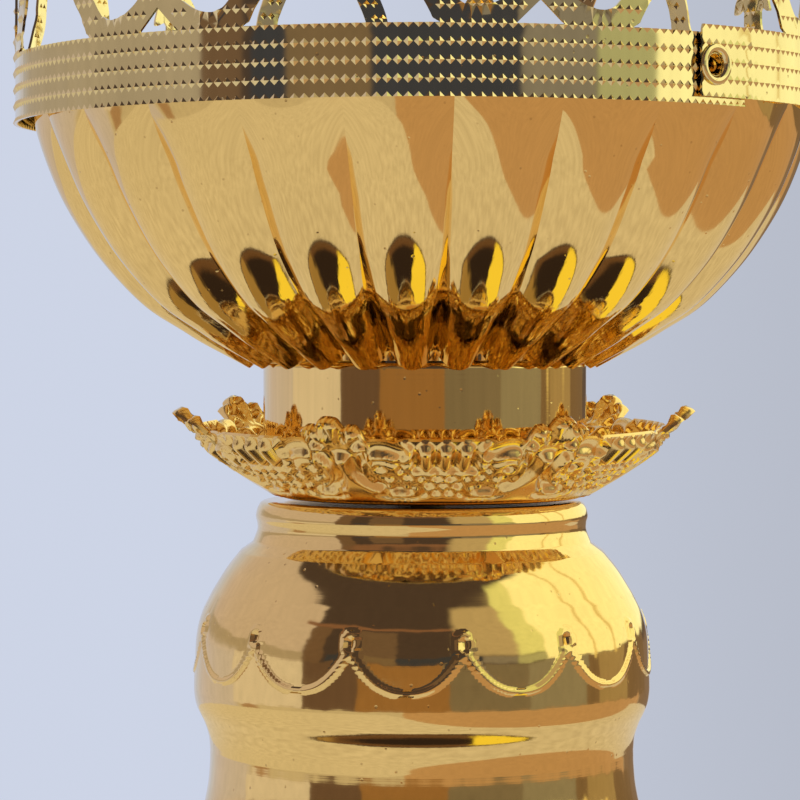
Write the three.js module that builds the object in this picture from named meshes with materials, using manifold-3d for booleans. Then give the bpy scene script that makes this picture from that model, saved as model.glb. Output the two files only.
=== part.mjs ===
// Standing vigil lamp: pressed gilt shells on one tie rod, a loose crown gallery, an oil glass and a float.
// Millimetres, +Z up, origin at the bottom centre, front towards -Y. Angles run from the front towards +X.
import * as THREE from 'three';
import Module from 'manifold-3d';
import { mergeVertices } from 'three/addons/utils/BufferGeometryUtils.js';

// General
const CONTACT_GAP = 0.3;
const LOBE_COUNT = 24;

// Tie rod and its nuts
const ROD_RADIUS = 3;
const ROD_CLEARANCE = 0.35;
const ROD_PROUD = 0.6;
const NUT_ACROSS_FLATS = 10;
const NUT_HEIGHT = 3.2;
const WASHER_RADIUS = 8;
const WASHER_THICKNESS = 1;

// Felt pad and pressed foot plate, each set in from the edge of what covers it
const FELT_INSET = 4.5;
const FELT_THICKNESS = 1.5;
const PLATE_INSET = 5;
const PLATE_WALL = 0.9;
const WRENCH_ROOM = 8;
const PLATE_BOSS_SLOPE = 2.5;

// Ballast ring, between the plate's boss and the foot's dome
const BALLAST_BOSS_GAP = 1.5;
const BALLAST_DOME_GAP = 6;
const BALLAST_HEIGHT = 7;

// Bell foot
const FOOT_WALL = 0.9;
const FOOT_RIM_RADIUS = 55.5;
const FOOT_RIM_DROP = 1.9;
const FOOT_RIM_WIDTH = 7;
const FOOT_EDGE = 0.6;
const FOOT_STEP_WIDTH = 2.5;
const FOOT_STEP_HEIGHT = 3;
const FOOT_DOME_HEIGHT = 24;
const FOOT_DOME_LEAN = 1.5;
const FOOT_DOME_TURN = 9;
const FOOT_SHOULDER = 9;
const FOOT_FLARE = 2.5;
const FOOT_NECK_RADIUS = 16.5;
const FOOT_NECK_LENGTH = 3;
const FOOT_TOP_INSET = 1.2;
const FOOT_HEIGHT = 58;
const FOOT_LOBE_DEPTH = 2.2;
const FOOT_LOBE_START = 4;
const FOOT_LOBE_END = 6;

// Turned rings below and above the lower knop
const RING_RADIUS = 20;
const RING_FACE_RADIUS = 15.5;
const RING_HEIGHT = 6;
const RING_ROUND_ANGLE = 50;

// Lower knop
const KNOP_WALL = 0.9;
const KNOP_END_RADIUS = 14.5;
const KNOP_END_FLARE = 2;
const KNOP_RADIUS = 26;
const KNOP_LEAN = 2.5;
const KNOP_HEIGHT = 32;

// Vase shell
const VASE_DISC_THICKNESS = 1.2;
const VASE_DISC_INSET = 1;
const VASE_WALL = 0.9;
const VASE_HEM_RADIUS = 34;
const VASE_WAIST_RADIUS = 28.5;
const VASE_BELLY_RADIUS = 30.8;
const VASE_NECK_RADIUS = 22.2;
const VASE_RIM_RADIUS = 22.5;
const VASE_TOP_RADIUS = 21;
const VASE_WAIST_HEIGHT = 17;
const VASE_BELLY_HEIGHT = 32.5;
const VASE_SHOULDER_HEIGHT = 47.7;
const VASE_HEIGHT = 54.9;
const VASE_HEM_LEAN = 0.4;
const VASE_HEM_HEIGHT = 2;
const VASE_NECK_SLOPE = 2.2;
const VASE_RIM_ROUND = 2;

// Bends of the vase: out and up from its waist, then in and up from its belly
const VASE_LOW_BENDS = [[0.8, 6.5], [2, 10]];
const VASE_HIGH_BENDS = [[1, 6.5], [3.3, 11.8]];

// Leaf tray, a little off the rod's line
const TRAY_WALL = 0.8;
const TRAY_UNITS = 7;
const TRAY_TURN = -22.5;
const TRAY_OFFSET = 1.3;
const TRAY_FLOOR_RADIUS = 17;
const TRAY_RADIUS = 35;
const TRAY_RIM_HEIGHT = 9.9;
const TRAY_BUD_HEIGHT = 2.9;
const TRAY_BUD_ANGLE = 12;
const TRAY_BUD_SPREAD = 0.8;
const TRAY_EDGE = 0.5;

// Bends of the tray's wall: out from its floor and up, as a share of its height
const TRAY_LOW_BENDS = [[3, 0.08], [8, 0.28]];
const TRAY_HIGH_BENDS = [[5, 0.56], [2, 0.8]];

// Spun collar with its skirt, and the spacer tube inside it
const COLLAR_WALL = 0.8;
const COLLAR_RADIUS = 21.85;
const COLLAR_HEIGHT = 6.4;
const COLLAR_BEND = 1;
const SKIRT_INSET = 5;
const SKIRT_DROP = 4.1;
const SKIRT_HOLLOW = 3.5;
const SPACER_WALL = 1.6;

// Gadrooned bowl
const BOWL_WALL = 0.9;
const BOWL_LOBE_TURN = 4.3;
const BOWL_LOBE_DEPTH = 2;
const BOWL_LOBE_DROP = 1.2;
const BOWL_LOBE_TUCK = 4.2;
const BOWL_LOBE_LIFT_END = 5;
const BOWL_LOBE_END = 6;
const BOWL_LOBE_FADE = 10;
const BOWL_COLLAR_GAP = 0.75;
const BOWL_RADIUS = 52.6;
const BOWL_DEPTH = 39.5;
const BOWL_EDGE = 0.6;
const BOWL_CUFF = 7;

// Bends of the bowl's side below its cuff: how far in from its radius, and how far above its floor
const BOWL_BENDS = [[20, 3.9], [11, 11], [5.2, 18.9], [2.4, 24.6]];

// Pressed rest for the glass
const REST_WALL = 0.8;
const REST_WELL_ROOM = 4;
const REST_LIP_HEIGHT = 3.5;
const REST_LIP_LEAN = 0.5;
const REST_NUT_CLEARANCE = 0.5;

// Oil glass
const GLASS_WALL = 2.2;
const GLASS_FLOOR = 3.5;
const GLASS_FOOT_RADIUS = 26;
const GLASS_RADIUS = 33;
const GLASS_HEIGHT = 34;
const GLASS_SWELL = 0.6;
const GLASS_FOOT_ROUND = 1;
const GLASS_RIM_ROUND = 0.8;
const GLASS_SIDE_CLEARANCE = 0.7;

// Float and wick
const FLOAT_RADIUS = 12.5;
const FLOAT_BORE_RADIUS = 4;
const FLOAT_THICKNESS = 6;
const FLOAT_PLATE_RADIUS = 14;
const FLOAT_PLATE_THICKNESS = 0.6;
const WICK_RADIUS = 1;
const WICK_CLEARANCE = 0.3;
const WICK_START = 2;
const WICK_TUBE_START = 1;
const WICK_TUBE_WALL = 0.6;
const WICK_TUBE_RISE = 5;
const WICK_TUBE_FLANGE = 3.4;
const WICK_RISE = 3.5;

// Crown gallery: one pierced strip, rolled up with its ends lapped
const STRIP_WALL = 0.4;
const CROWN_SLIP = 2.4;
const CROWN_UNITS = 7;
const BAND_HEIGHT = 8.7;
const LAP_START = 38;
const LAP_ANGLE = 9;
const FIRST_UNIT_ANGLE = 30.6;
const UNIT_ANGLE = 51.07;
const STRIP_RISE = 0.9;
const ARCH_HEIGHT = 24;
const FINIAL_HEIGHT = 9;
const FINIAL_RADIUS = 2.6;
const FINIAL_LOBE_REACH = 1;
const FINIAL_LOBE_RADIUS = 1.6;
const FINIAL_FOOT = 1.1;
const FINIAL_FOOT_START = 1.8;
const ARM_WIDTH = 3.3;
const ARM_ROOT = 1;
const FOLD_CLEAR = 0.4;
const NECK_INNER = 3.05;
const NECK_OUTER = 12.2;
const NECK_GAP_HEIGHT = 2.9;
const STEM_HALF_WIDTH = 1.95;
const STEM_HEAD_HALF_WIDTH = 4.1;
const STEM_FOOT_HEIGHT = 2.6;
const STEM_BARB_HEIGHT = 8.3;
const STEM_HEAD_SIDE = 2.3;
const STEM_TIP = 3.6;
const STEM_HEIGHT = 17;
const TONGUE_WIDTH = 6;
const TONGUE_REST = 1.8;
const TONGUE_THICKNESS = 0.4;

// Bends of an arm's middle line: out from its neck and up from the band, then in and down from its apex
const ARM_LOW_BENDS = [[0.6, 3.4], [2.9, 6.5], [3.9, 11]];
const ARM_HIGH_BENDS = [[6.2, 8.2], [3, 3.6]];

// Tubular eyelet through the lap
const EYELET_ANGLE = 2.4;
const EYELET_BORE_RADIUS = 1.35;
const EYELET_WALL = 0.3;
const EYELET_FLANGE_RADIUS = 2.45;
const EYELET_FLANGE_THICKNESS = 0.4;
const EYELET_GRIP_GAP = 0.4;

// Sides of the round pieces
const LARGE_SIDES = 36;
const MEDIUM_SIDES = 28;
const SMALL_SIDES = 12;
const SIDES_PER_BOWL_LOBE = 3;
const SIDES_PER_FOOT_LOBE = 2;
const SIDES_PER_TRAY_UNIT = 8;
const STRIP_STEP = 9;

// Steps along the curved sections
const FOOT_STEPS = 7;
const KNOP_STEPS = 7;
const VASE_STEPS = 11;
const TRAY_STEPS = 6;
const BOWL_STEPS = 7;
const ARM_STEPS = 7;

const wasm = await Module();
wasm.setup();

const lamp = new THREE.Group();
const degrees = THREE.MathUtils.degToRad;
const smoothstep = THREE.MathUtils.smoothstep;

const GILT = { color: 0xd9a84e, roughness: 0.12, metalness: 1 };
const STEEL = { color: 0x8d9094, roughness: 0.35, metalness: 1 };
const IRON = { color: 0x4a4a4c, roughness: 0.7, metalness: 0.8 };
const BRASS = { color: 0xc8a04a, roughness: 0.3, metalness: 1 };
const FELT = { color: 0x3d2a22, roughness: 1, metalness: 0 };
const GLASS = { color: 0xe8efe9, roughness: 0.05, metalness: 0 };
const CORK = { color: 0xb58a5a, roughness: 0.9, metalness: 0 };
const COTTON = { color: 0xefe8d8, roughness: 0.95, metalness: 0 };

function addPiece(name, geometry, finish, height = 0, offset = 0) {
  const mesh = new THREE.Mesh(geometry, new THREE.MeshStandardMaterial(finish));
  mesh.name = name;
  mesh.position.set(offset, 0, height);
  lamp.add(mesh);
}

// A section turned about the Z axis. Its points run anticlockwise, with the radius to the right.
function turned(points, sides = LARGE_SIDES, start = 0) {
  const section = points.map(([radius, height]) => new THREE.Vector2(radius, height));
  if (points[0][0] > 0) {
    section.push(section[0].clone());
  }
  const geometry = new THREE.LatheGeometry(section, sides, degrees(start));
  return geometry.rotateX(Math.PI / 2);
}

// The closed section of a sheet wall, from its outer face listed upwards and its thickness.
function sheetSection(outer, wall) {
  const inner = outer.map((point, index) => {
    const before = outer[Math.max(index - 1, 0)];
    const after = outer[Math.min(index + 1, outer.length - 1)];
    const normalIn = leftNormal(before, point, after);
    return [point[0] + normalIn[0] * wall, point[1] + normalIn[1] * wall];
  });
  return [...outer, ...inner.reverse()];
}

// The mitred normal on the left of a path at one of its points.
function leftNormal(before, point, after) {
  const first = new THREE.Vector2(point[0] - before[0], point[1] - before[1]);
  const second = new THREE.Vector2(after[0] - point[0], after[1] - point[1]);
  const one = first.length() > 0 ? first.normalize() : second.clone().normalize();
  const two = second.length() > 0 ? second.normalize() : one.clone();
  const sum = one.clone().add(two).normalize();
  const stretch = 1 / Math.max(sum.dot(one), 0.6);
  return [-sum.y * stretch, sum.x * stretch];
}

// Points of a smooth curve through the given ones.
function smoothPath(points, divisions) {
  const curve = new THREE.SplineCurve(points.map(([x, y]) => new THREE.Vector2(x, y)));
  return curve.getPoints(divisions).map((point) => [point.x, point.y]);
}

// Moves every vertex by its radius, height and angle.
function reshape(geometry, move) {
  const positions = geometry.attributes.position;
  for (let index = 0; index < positions.count; index += 1) {
    const x = positions.getX(index);
    const y = positions.getY(index);
    const [radius, height] = move(Math.hypot(x, y), positions.getZ(index), Math.atan2(x, -y));
    const scale = radius / Math.hypot(x, y);
    positions.setXYZ(index, x * scale, y * scale, height);
  }
  return geometry;
}

// How far an angle stands off the crest of its lobe: 0 on the crest, 1 in the groove.
function grooveShare(angle, turn) {
  return 1 - Math.abs(Math.sin((LOBE_COUNT / 2) * (angle - degrees(turn))));
}

function washer(thickness, outer, inner, sides = SMALL_SIDES) {
  return turned([[inner, 0], [outer, 0], [outer, thickness], [inner, thickness]], sides);
}

function hexNut(height, acrossFlats, bore) {
  const reach = acrossFlats / Math.sqrt(3);
  const outline = new THREE.Shape([0, 60, 120, 180, 240, 300].map((turn) => (
    new THREE.Vector2(reach * Math.cos(degrees(turn)), reach * Math.sin(degrees(turn)))
  )));
  const hole = new THREE.Path();
  hole.absarc(0, 0, bore, 0, Math.PI * 2, true);
  outline.holes.push(hole);
  const settings = { depth: height, bevelEnabled: false, curveSegments: SMALL_SIDES };
  return new THREE.ExtrudeGeometry(outline, settings);
}

// Heights of the stack, each piece standing a contact gap above the one below.
const rodHole = ROD_RADIUS + ROD_CLEARANCE;
const plateBottom = FELT_THICKNESS + CONTACT_GAP;
const recessHeight = ROD_PROUD + NUT_HEIGHT + WASHER_THICKNESS + 3 * CONTACT_GAP;
const bossBottom = FELT_THICKNESS + recessHeight;
const flangeBottom = plateBottom + PLATE_WALL + CONTACT_GAP;
const footTop = flangeBottom + FOOT_HEIGHT;
const lowerRingBottom = footTop + CONTACT_GAP;
const knopBottom = lowerRingBottom + RING_HEIGHT + CONTACT_GAP;
const upperRingBottom = knopBottom + KNOP_HEIGHT + CONTACT_GAP;
const vaseDiscBottom = upperRingBottom + RING_HEIGHT + CONTACT_GAP;
const vaseBottom = vaseDiscBottom + VASE_DISC_THICKNESS + CONTACT_GAP;
const vaseTop = vaseBottom + VASE_HEIGHT;
const trayBottom = vaseTop + CONTACT_GAP;

// Radii of the foot and of what lies under it and inside it.
const bossRadius = WASHER_RADIUS + WRENCH_ROOM;
const footDomeRadius = FOOT_RIM_RADIUS - FOOT_RIM_WIDTH - FOOT_STEP_WIDTH;
const plateRadius = FOOT_RIM_RADIUS - PLATE_INSET;
const feltRadius = plateRadius - FELT_INSET;

function addFoot() {
  const felt = new THREE.CylinderGeometry(feltRadius, feltRadius, FELT_THICKNESS, LARGE_SIDES);
  addPiece('base_felt', felt.rotateX(Math.PI / 2), FELT, FELT_THICKNESS / 2);
  const plateFace = [
    [plateRadius, plateBottom + PLATE_WALL],
    [bossRadius + PLATE_BOSS_SLOPE, plateBottom + PLATE_WALL],
    [bossRadius, bossBottom + PLATE_WALL],
    [rodHole, bossBottom + PLATE_WALL],
  ];
  addPiece('foot_plate', turned(sheetSection(plateFace, PLATE_WALL)), STEEL);
  const ballastBottom = plateBottom + PLATE_WALL + CONTACT_GAP;
  const ballastBore = bossRadius + PLATE_BOSS_SLOPE + BALLAST_BOSS_GAP;
  const ballast = washer(BALLAST_HEIGHT, footDomeRadius - BALLAST_DOME_GAP, ballastBore, LARGE_SIDES);
  addPiece('ballast_ring', ballast, IRON, ballastBottom);
  addPiece('foot_bell', footBell(), GILT);
}

// Bell foot: a turned-down rim, a step, a gadrooned dome and a smooth neck closed by a flat top.
function footBell() {
  const stepTop = flangeBottom + FOOT_WALL;
  const domeBottom = stepTop + FOOT_STEP_HEIGHT;
  const domeTop = domeBottom + FOOT_DOME_HEIGHT;
  const rim = [
    [FOOT_RIM_RADIUS, flangeBottom - FOOT_RIM_DROP],
    [FOOT_RIM_RADIUS, stepTop - FOOT_EDGE],
    [FOOT_RIM_RADIUS - FOOT_EDGE, stepTop],
    [FOOT_RIM_RADIUS - FOOT_RIM_WIDTH, stepTop],
  ];
  const dome = smoothPath([
    [footDomeRadius, domeBottom],
    [footDomeRadius - FOOT_DOME_LEAN, domeBottom + FOOT_DOME_HEIGHT * 0.3],
    [footDomeRadius - FOOT_DOME_TURN, domeBottom + FOOT_DOME_HEIGHT * 0.7],
    [FOOT_NECK_RADIUS + FOOT_SHOULDER, domeTop],
    [FOOT_NECK_RADIUS + FOOT_FLARE, (domeTop + footTop) / 2],
    [FOOT_NECK_RADIUS, footTop - FOOT_NECK_LENGTH],
  ], FOOT_STEPS);
  const top = [[FOOT_NECK_RADIUS - FOOT_TOP_INSET, footTop], [rodHole, footTop]];
  const sides = LOBE_COUNT * SIDES_PER_FOOT_LOBE;
  const geometry = turned(sheetSection([...rim, ...dome, ...top], FOOT_WALL), sides);
  const lobeStart = domeBottom + FOOT_STEP_HEIGHT - FOOT_LOBE_START;
  return reshape(geometry, (radius, height, angle) => {
    const rise = smoothstep(height, lobeStart, lobeStart + FOOT_LOBE_START);
    const fade = 1 - smoothstep(height, domeTop - FOOT_LOBE_END, domeTop + FOOT_LOBE_END);
    return [radius - FOOT_LOBE_DEPTH * rise * fade * grooveShare(angle, 0), height];
  });
}

function stemRing() {
  const half = RING_HEIGHT / 2;
  const edge = [-RING_ROUND_ANGLE, 0, RING_ROUND_ANGLE].map((turn) => {
    const reach = RING_FACE_RADIUS + (RING_RADIUS - RING_FACE_RADIUS) * Math.cos(degrees(turn));
    return [reach, half + half * Math.sin(degrees(turn))];
  });
  return turned([[rodHole, 0], [RING_FACE_RADIUS, 0], ...edge, [RING_FACE_RADIUS, RING_HEIGHT],
    [rodHole, RING_HEIGHT]], MEDIUM_SIDES);
}

// Lower knop: a spun flattened ball, open below and closed above round the rod.
function lowerKnop() {
  const side = smoothPath([
    [KNOP_END_RADIUS + KNOP_END_FLARE / 2, 0],
    [KNOP_END_RADIUS + KNOP_END_FLARE, KNOP_END_FLARE],
    [KNOP_RADIUS - KNOP_LEAN, KNOP_HEIGHT * 0.25],
    [KNOP_RADIUS, KNOP_HEIGHT * 0.5],
    [KNOP_RADIUS - KNOP_LEAN, KNOP_HEIGHT * 0.75],
    [KNOP_END_RADIUS + KNOP_END_FLARE, KNOP_HEIGHT - KNOP_END_FLARE],
  ], KNOP_STEPS);
  const outer = [...side, [KNOP_END_RADIUS, KNOP_HEIGHT], [rodHole, KNOP_HEIGHT]];
  return turned(sheetSection(outer, KNOP_WALL), MEDIUM_SIDES);
}

// Vase: flared hem, waist, full belly, shoulder, short neck and a rounded rim with a flat top.
function vaseShell() {
  const hem = smoothPath([
    [VASE_HEM_RADIUS, 0],
    [VASE_HEM_RADIUS - VASE_HEM_LEAN, VASE_HEM_HEIGHT],
    [(VASE_HEM_RADIUS + VASE_WAIST_RADIUS) / 2, VASE_WAIST_HEIGHT * 0.4],
    [VASE_WAIST_RADIUS, VASE_WAIST_HEIGHT],
    ...VASE_LOW_BENDS.map(([out, up]) => [VASE_WAIST_RADIUS + out, VASE_WAIST_HEIGHT + up]),
    [VASE_BELLY_RADIUS, VASE_BELLY_HEIGHT],
    ...VASE_HIGH_BENDS.map(([inward, up]) => [VASE_BELLY_RADIUS - inward, VASE_BELLY_HEIGHT + up]),
    [VASE_NECK_RADIUS + VASE_RIM_ROUND, VASE_SHOULDER_HEIGHT],
  ], VASE_STEPS);
  const neck = [
    [VASE_NECK_RADIUS, VASE_SHOULDER_HEIGHT + VASE_NECK_SLOPE],
    [VASE_RIM_RADIUS, VASE_HEIGHT - VASE_RIM_ROUND],
    [VASE_TOP_RADIUS, VASE_HEIGHT],
  ];
  return turned(sheetSection([...hem, ...neck, [rodHole, VASE_HEIGHT]], VASE_WALL));
}

function addStem() {
  addPiece('lower_ring', stemRing(), GILT, lowerRingBottom);
  addPiece('lower_knop', lowerKnop(), GILT, knopBottom);
  addPiece('upper_ring', stemRing(), GILT, upperRingBottom);
  const disc = washer(VASE_DISC_THICKNESS, VASE_HEM_RADIUS - VASE_DISC_INSET, rodHole, LARGE_SIDES);
  addPiece('vase_disc', disc, STEEL, vaseDiscBottom);
  addPiece('vase_shell', vaseShell(), GILT, vaseBottom);
}

// Rise of the tray's wall above its floor at a radius, on its under side.
const trayWallPath = smoothPath([
  [TRAY_FLOOR_RADIUS, 0],
  ...TRAY_LOW_BENDS.map(([out, share]) => [TRAY_FLOOR_RADIUS + out, TRAY_RIM_HEIGHT * share]),
  ...TRAY_HIGH_BENDS.map(([inward, share]) => [TRAY_RADIUS - inward, TRAY_RIM_HEIGHT * share]),
  [TRAY_RADIUS - TRAY_EDGE, TRAY_RIM_HEIGHT],
], TRAY_STEPS);

function trayWallRise(radius) {
  const after = trayWallPath.findIndex((point) => point[0] >= radius);
  const [lowRadius, lowRise] = trayWallPath[after - 1];
  const [highRadius, highRise] = trayWallPath[after];
  return lowRise + ((highRise - lowRise) * (radius - lowRadius)) / (highRadius - lowRadius);
}

// Leaf tray: a stamped dish whose edge rises to a bud above each pair of scrolls.
function leafTray() {
  const outer = [...trayWallPath].reverse();
  const hole = rodHole + TRAY_OFFSET;
  const underSide = [[hole, 0], ...trayWallPath];
  const upperSide = outer.map(([radius, rise]) => [radius - TRAY_WALL * 0.55, rise + TRAY_WALL * 0.85]);
  upperSide[0] = [TRAY_RADIUS - TRAY_EDGE - TRAY_WALL, TRAY_RIM_HEIGHT + TRAY_WALL / 4];
  const section = [...underSide, ...upperSide, [hole, TRAY_WALL]];
  const sides = TRAY_UNITS * SIDES_PER_TRAY_UNIT;
  const geometry = turned(section, sides, TRAY_TURN);
  return reshape(geometry, (radius, height, angle) => {
    const pitch = (2 * Math.PI) / TRAY_UNITS;
    const turn = (angle - degrees(TRAY_TURN)) / pitch;
    const offBud = Math.abs(turn - Math.round(turn)) * pitch;
    const bud = 1 - smoothstep(offBud, 0, degrees(TRAY_BUD_ANGLE) / 2);
    const share = smoothstep(height, TRAY_RIM_HEIGHT * 0.7, TRAY_RIM_HEIGHT);
    return [radius + TRAY_BUD_SPREAD * bud * share, height + TRAY_BUD_HEIGHT * bud * share];
  });
}

const skirtRadius = TRAY_RADIUS - SKIRT_INSET;
const skirtEdge = trayBottom + trayWallRise(skirtRadius + TRAY_OFFSET) + TRAY_WALL * 1.5 + CONTACT_GAP;
const collarFoot = skirtEdge + SKIRT_DROP;
const collarTop = collarFoot + COLLAR_HEIGHT;
const bowlFloor = collarTop + CONTACT_GAP;
const bowlFloorRadius = COLLAR_RADIUS + BOWL_COLLAR_GAP;
const bowlRimTop = bowlFloor + BOWL_DEPTH;

function addCollar() {
  const collar = [
    [skirtRadius, -SKIRT_DROP],
    [skirtRadius - SKIRT_HOLLOW, -SKIRT_DROP / 2],
    [COLLAR_RADIUS + COLLAR_BEND, -COLLAR_BEND / 5],
    [COLLAR_RADIUS, COLLAR_BEND * 0.6],
    [COLLAR_RADIUS, COLLAR_HEIGHT],
  ];
  addPiece('leaf_tray', leafTray(), GILT, trayBottom, TRAY_OFFSET);
  addPiece('bowl_collar', turned(sheetSection(collar, COLLAR_WALL)), GILT, collarFoot);
  const spacerBottom = trayBottom + TRAY_WALL + CONTACT_GAP;
  const spacerHeight = bowlFloor - CONTACT_GAP - spacerBottom;
  addPiece('spacer_tube', washer(spacerHeight, rodHole + SPACER_WALL, rodHole), STEEL, spacerBottom);
}

// Gadrooned bowl: flat floor, lobes that hang a little below it, and a rolled rim.
function bowlShell() {
  const side = smoothPath([
    [bowlFloorRadius + 1, -BOWL_LOBE_DROP],
    [bowlFloorRadius + BOWL_LOBE_TUCK, BOWL_LOBE_DROP / 2],
    ...BOWL_BENDS.map(([inward, up]) => [BOWL_RADIUS - inward, up]),
    [BOWL_RADIUS - BOWL_EDGE / 3, BOWL_DEPTH - BOWL_CUFF],
  ], BOWL_STEPS);
  const rim = [[BOWL_RADIUS, BOWL_DEPTH - BOWL_EDGE], [BOWL_RADIUS - BOWL_EDGE, BOWL_DEPTH]];
  const floor = [[rodHole, 0], [bowlFloorRadius, 0]];
  const section = sheetSection([...floor, ...side, ...rim], BOWL_WALL);
  const geometry = turned(section, LOBE_COUNT * SIDES_PER_BOWL_LOBE, BOWL_LOBE_TURN);
  const fadeTop = BOWL_DEPTH - BOWL_LOBE_END;
  return reshape(geometry, (radius, height, angle) => {
    const groove = grooveShare(angle, BOWL_LOBE_TURN);
    const outFromFloor = smoothstep(radius, bowlFloorRadius - 0.5, bowlFloorRadius + 3);
    const fade = 1 - smoothstep(height, fadeTop - BOWL_LOBE_FADE, fadeTop);
    const lift = BOWL_LOBE_DROP * (1 - smoothstep(height, 0, BOWL_LOBE_LIFT_END)) * outFromFloor;
    return [radius - BOWL_LOBE_DEPTH * outFromFloor * fade * groove, height + lift * groove];
  });
}

const restBottom = bowlFloor + BOWL_WALL + CONTACT_GAP;
const topWasherBottom = restBottom + REST_WALL + CONTACT_GAP;
const topNutBottom = topWasherBottom + WASHER_THICKNESS + CONTACT_GAP;
const rodTop = topNutBottom + NUT_HEIGHT + ROD_PROUD;
const restLedge = rodTop + REST_NUT_CLEARANCE;
const glassBottom = restLedge + CONTACT_GAP;

// Rest for the glass: a well that holds the nut, a ledge round it and an upturned lip.
function glassRest() {
  const lipRadius = GLASS_FOOT_RADIUS + GLASS_SIDE_CLEARANCE + REST_WALL;
  const ledge = restLedge - restBottom - REST_WALL;
  const wellRadius = WASHER_RADIUS + REST_WELL_ROOM;
  const outer = [
    [rodHole, 0],
    [wellRadius, 0],
    [wellRadius + REST_WALL * 1.5, ledge],
    [lipRadius - REST_WALL * 0.75, ledge],
    [lipRadius, ledge + REST_WALL],
    [lipRadius + REST_LIP_LEAN, ledge + REST_WALL + REST_LIP_HEIGHT],
  ];
  return turned(sheetSection(outer, REST_WALL), MEDIUM_SIDES);
}

// Low tapering glass with a thick floor and a rounded rim.
function glassCup() {
  const innerFoot = GLASS_FOOT_RADIUS - GLASS_WALL;
  const middleRadius = (GLASS_FOOT_RADIUS + GLASS_RADIUS) / 2 + GLASS_SWELL;
  return turned([
    [0, 0],
    [GLASS_FOOT_RADIUS - GLASS_FOOT_ROUND, 0],
    [GLASS_FOOT_RADIUS, GLASS_FOOT_ROUND],
    [middleRadius, GLASS_HEIGHT / 2],
    [GLASS_RADIUS, GLASS_HEIGHT - GLASS_RIM_ROUND],
    [GLASS_RADIUS - GLASS_WALL / 2, GLASS_HEIGHT],
    [GLASS_RADIUS - GLASS_WALL, GLASS_HEIGHT - GLASS_RIM_ROUND],
    [middleRadius - GLASS_WALL, GLASS_HEIGHT / 2],
    [innerFoot, GLASS_FLOOR],
    [0, GLASS_FLOOR],
  ], MEDIUM_SIDES);
}

function addBowl() {
  addPiece('bowl_shell', bowlShell(), GILT, bowlFloor);
  addPiece('glass_rest', glassRest(), STEEL, restBottom);
  addPiece('glass_cup', glassCup(), GLASS, glassBottom);
}

function addRod() {
  const rodBottom = FELT_THICKNESS + CONTACT_GAP;
  const rod = new THREE.CylinderGeometry(ROD_RADIUS, ROD_RADIUS, rodTop - rodBottom, SMALL_SIDES);
  addPiece('tie_rod', rod.rotateX(Math.PI / 2), STEEL, (rodTop + rodBottom) / 2);
  const lowerWasherBottom = bossBottom - CONTACT_GAP - WASHER_THICKNESS;
  const lowerNutBottom = lowerWasherBottom - CONTACT_GAP - NUT_HEIGHT;
  addPiece('bottom_washer', washer(WASHER_THICKNESS, WASHER_RADIUS, rodHole), STEEL, lowerWasherBottom);
  addPiece('bottom_nut', hexNut(NUT_HEIGHT, NUT_ACROSS_FLATS, rodHole), STEEL, lowerNutBottom);
  addPiece('top_washer', washer(WASHER_THICKNESS, WASHER_RADIUS, rodHole), STEEL, topWasherBottom);
  addPiece('top_nut', hexNut(NUT_HEIGHT, NUT_ACROSS_FLATS, rodHole), STEEL, topNutBottom);
}

// Float: a cork ring under a thin plate, with a flanged tube that holds the wick.
function addFloat() {
  const corkBottom = glassBottom + GLASS_FLOOR + CONTACT_GAP;
  const plateBase = corkBottom + FLOAT_THICKNESS + CONTACT_GAP;
  const tubeBore = WICK_RADIUS + WICK_CLEARANCE;
  const tubeRadius = tubeBore + WICK_TUBE_WALL;
  const tubeBottom = corkBottom + WICK_TUBE_START;
  const flangeBase = plateBase + FLOAT_PLATE_THICKNESS + CONTACT_GAP;
  const tubeTop = flangeBase + WICK_TUBE_RISE;
  addPiece('float_cork', washer(FLOAT_THICKNESS, FLOAT_RADIUS, FLOAT_BORE_RADIUS), CORK, corkBottom);
  const plate = washer(FLOAT_PLATE_THICKNESS, FLOAT_PLATE_RADIUS, tubeRadius + CONTACT_GAP);
  addPiece('float_plate', plate, BRASS, plateBase);
  addPiece('wick_tube', turned([
    [tubeBore, tubeBottom],
    [tubeRadius, tubeBottom],
    [tubeRadius, flangeBase],
    [WICK_TUBE_FLANGE, flangeBase],
    [WICK_TUBE_FLANGE, flangeBase + WICK_TUBE_WALL],
    [tubeRadius, flangeBase + WICK_TUBE_WALL],
    [tubeRadius, tubeTop],
    [tubeBore, tubeTop],
  ], SMALL_SIDES), BRASS);
  const wickBottom = corkBottom + WICK_START;
  const wickTop = tubeTop + WICK_RISE;
  const wick = new THREE.CylinderGeometry(WICK_RADIUS, WICK_RADIUS, wickTop - wickBottom, SMALL_SIDES);
  addPiece('wick', wick.rotateX(Math.PI / 2), COTTON, (wickTop + wickBottom) / 2);
}

// The crown is drawn flat, along the strip and above its band, and then rolled up.
const crownRadius = BOWL_RADIUS + CROWN_SLIP;
const bandTop = bowlRimTop + CONTACT_GAP + TONGUE_THICKNESS;
const lapPitch = STRIP_WALL + CONTACT_GAP;
const stripAngle = 360 + LAP_ANGLE;
const unitWidth = degrees(UNIT_ANGLE) * crownRadius;

function alongStrip(angle) {
  return degrees(angle) * crownRadius;
}

// Rolls a flat drawing up: X runs along the strip, Y above the band's top and Z out of its outer face.
function rolled(geometry) {
  const positions = geometry.attributes.position;
  for (let index = 0; index < positions.count; index += 1) {
    const turn = positions.getX(index) / crownRadius;
    const share = turn / (2 * Math.PI);
    const radius = crownRadius - lapPitch * share + positions.getZ(index);
    const height = bandTop + STRIP_RISE * (1 - share) + positions.getY(index);
    const angle = turn + degrees(LAP_START);
    positions.setXYZ(index, radius * Math.sin(angle), -radius * Math.cos(angle), height);
  }
  return geometry;
}

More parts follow.
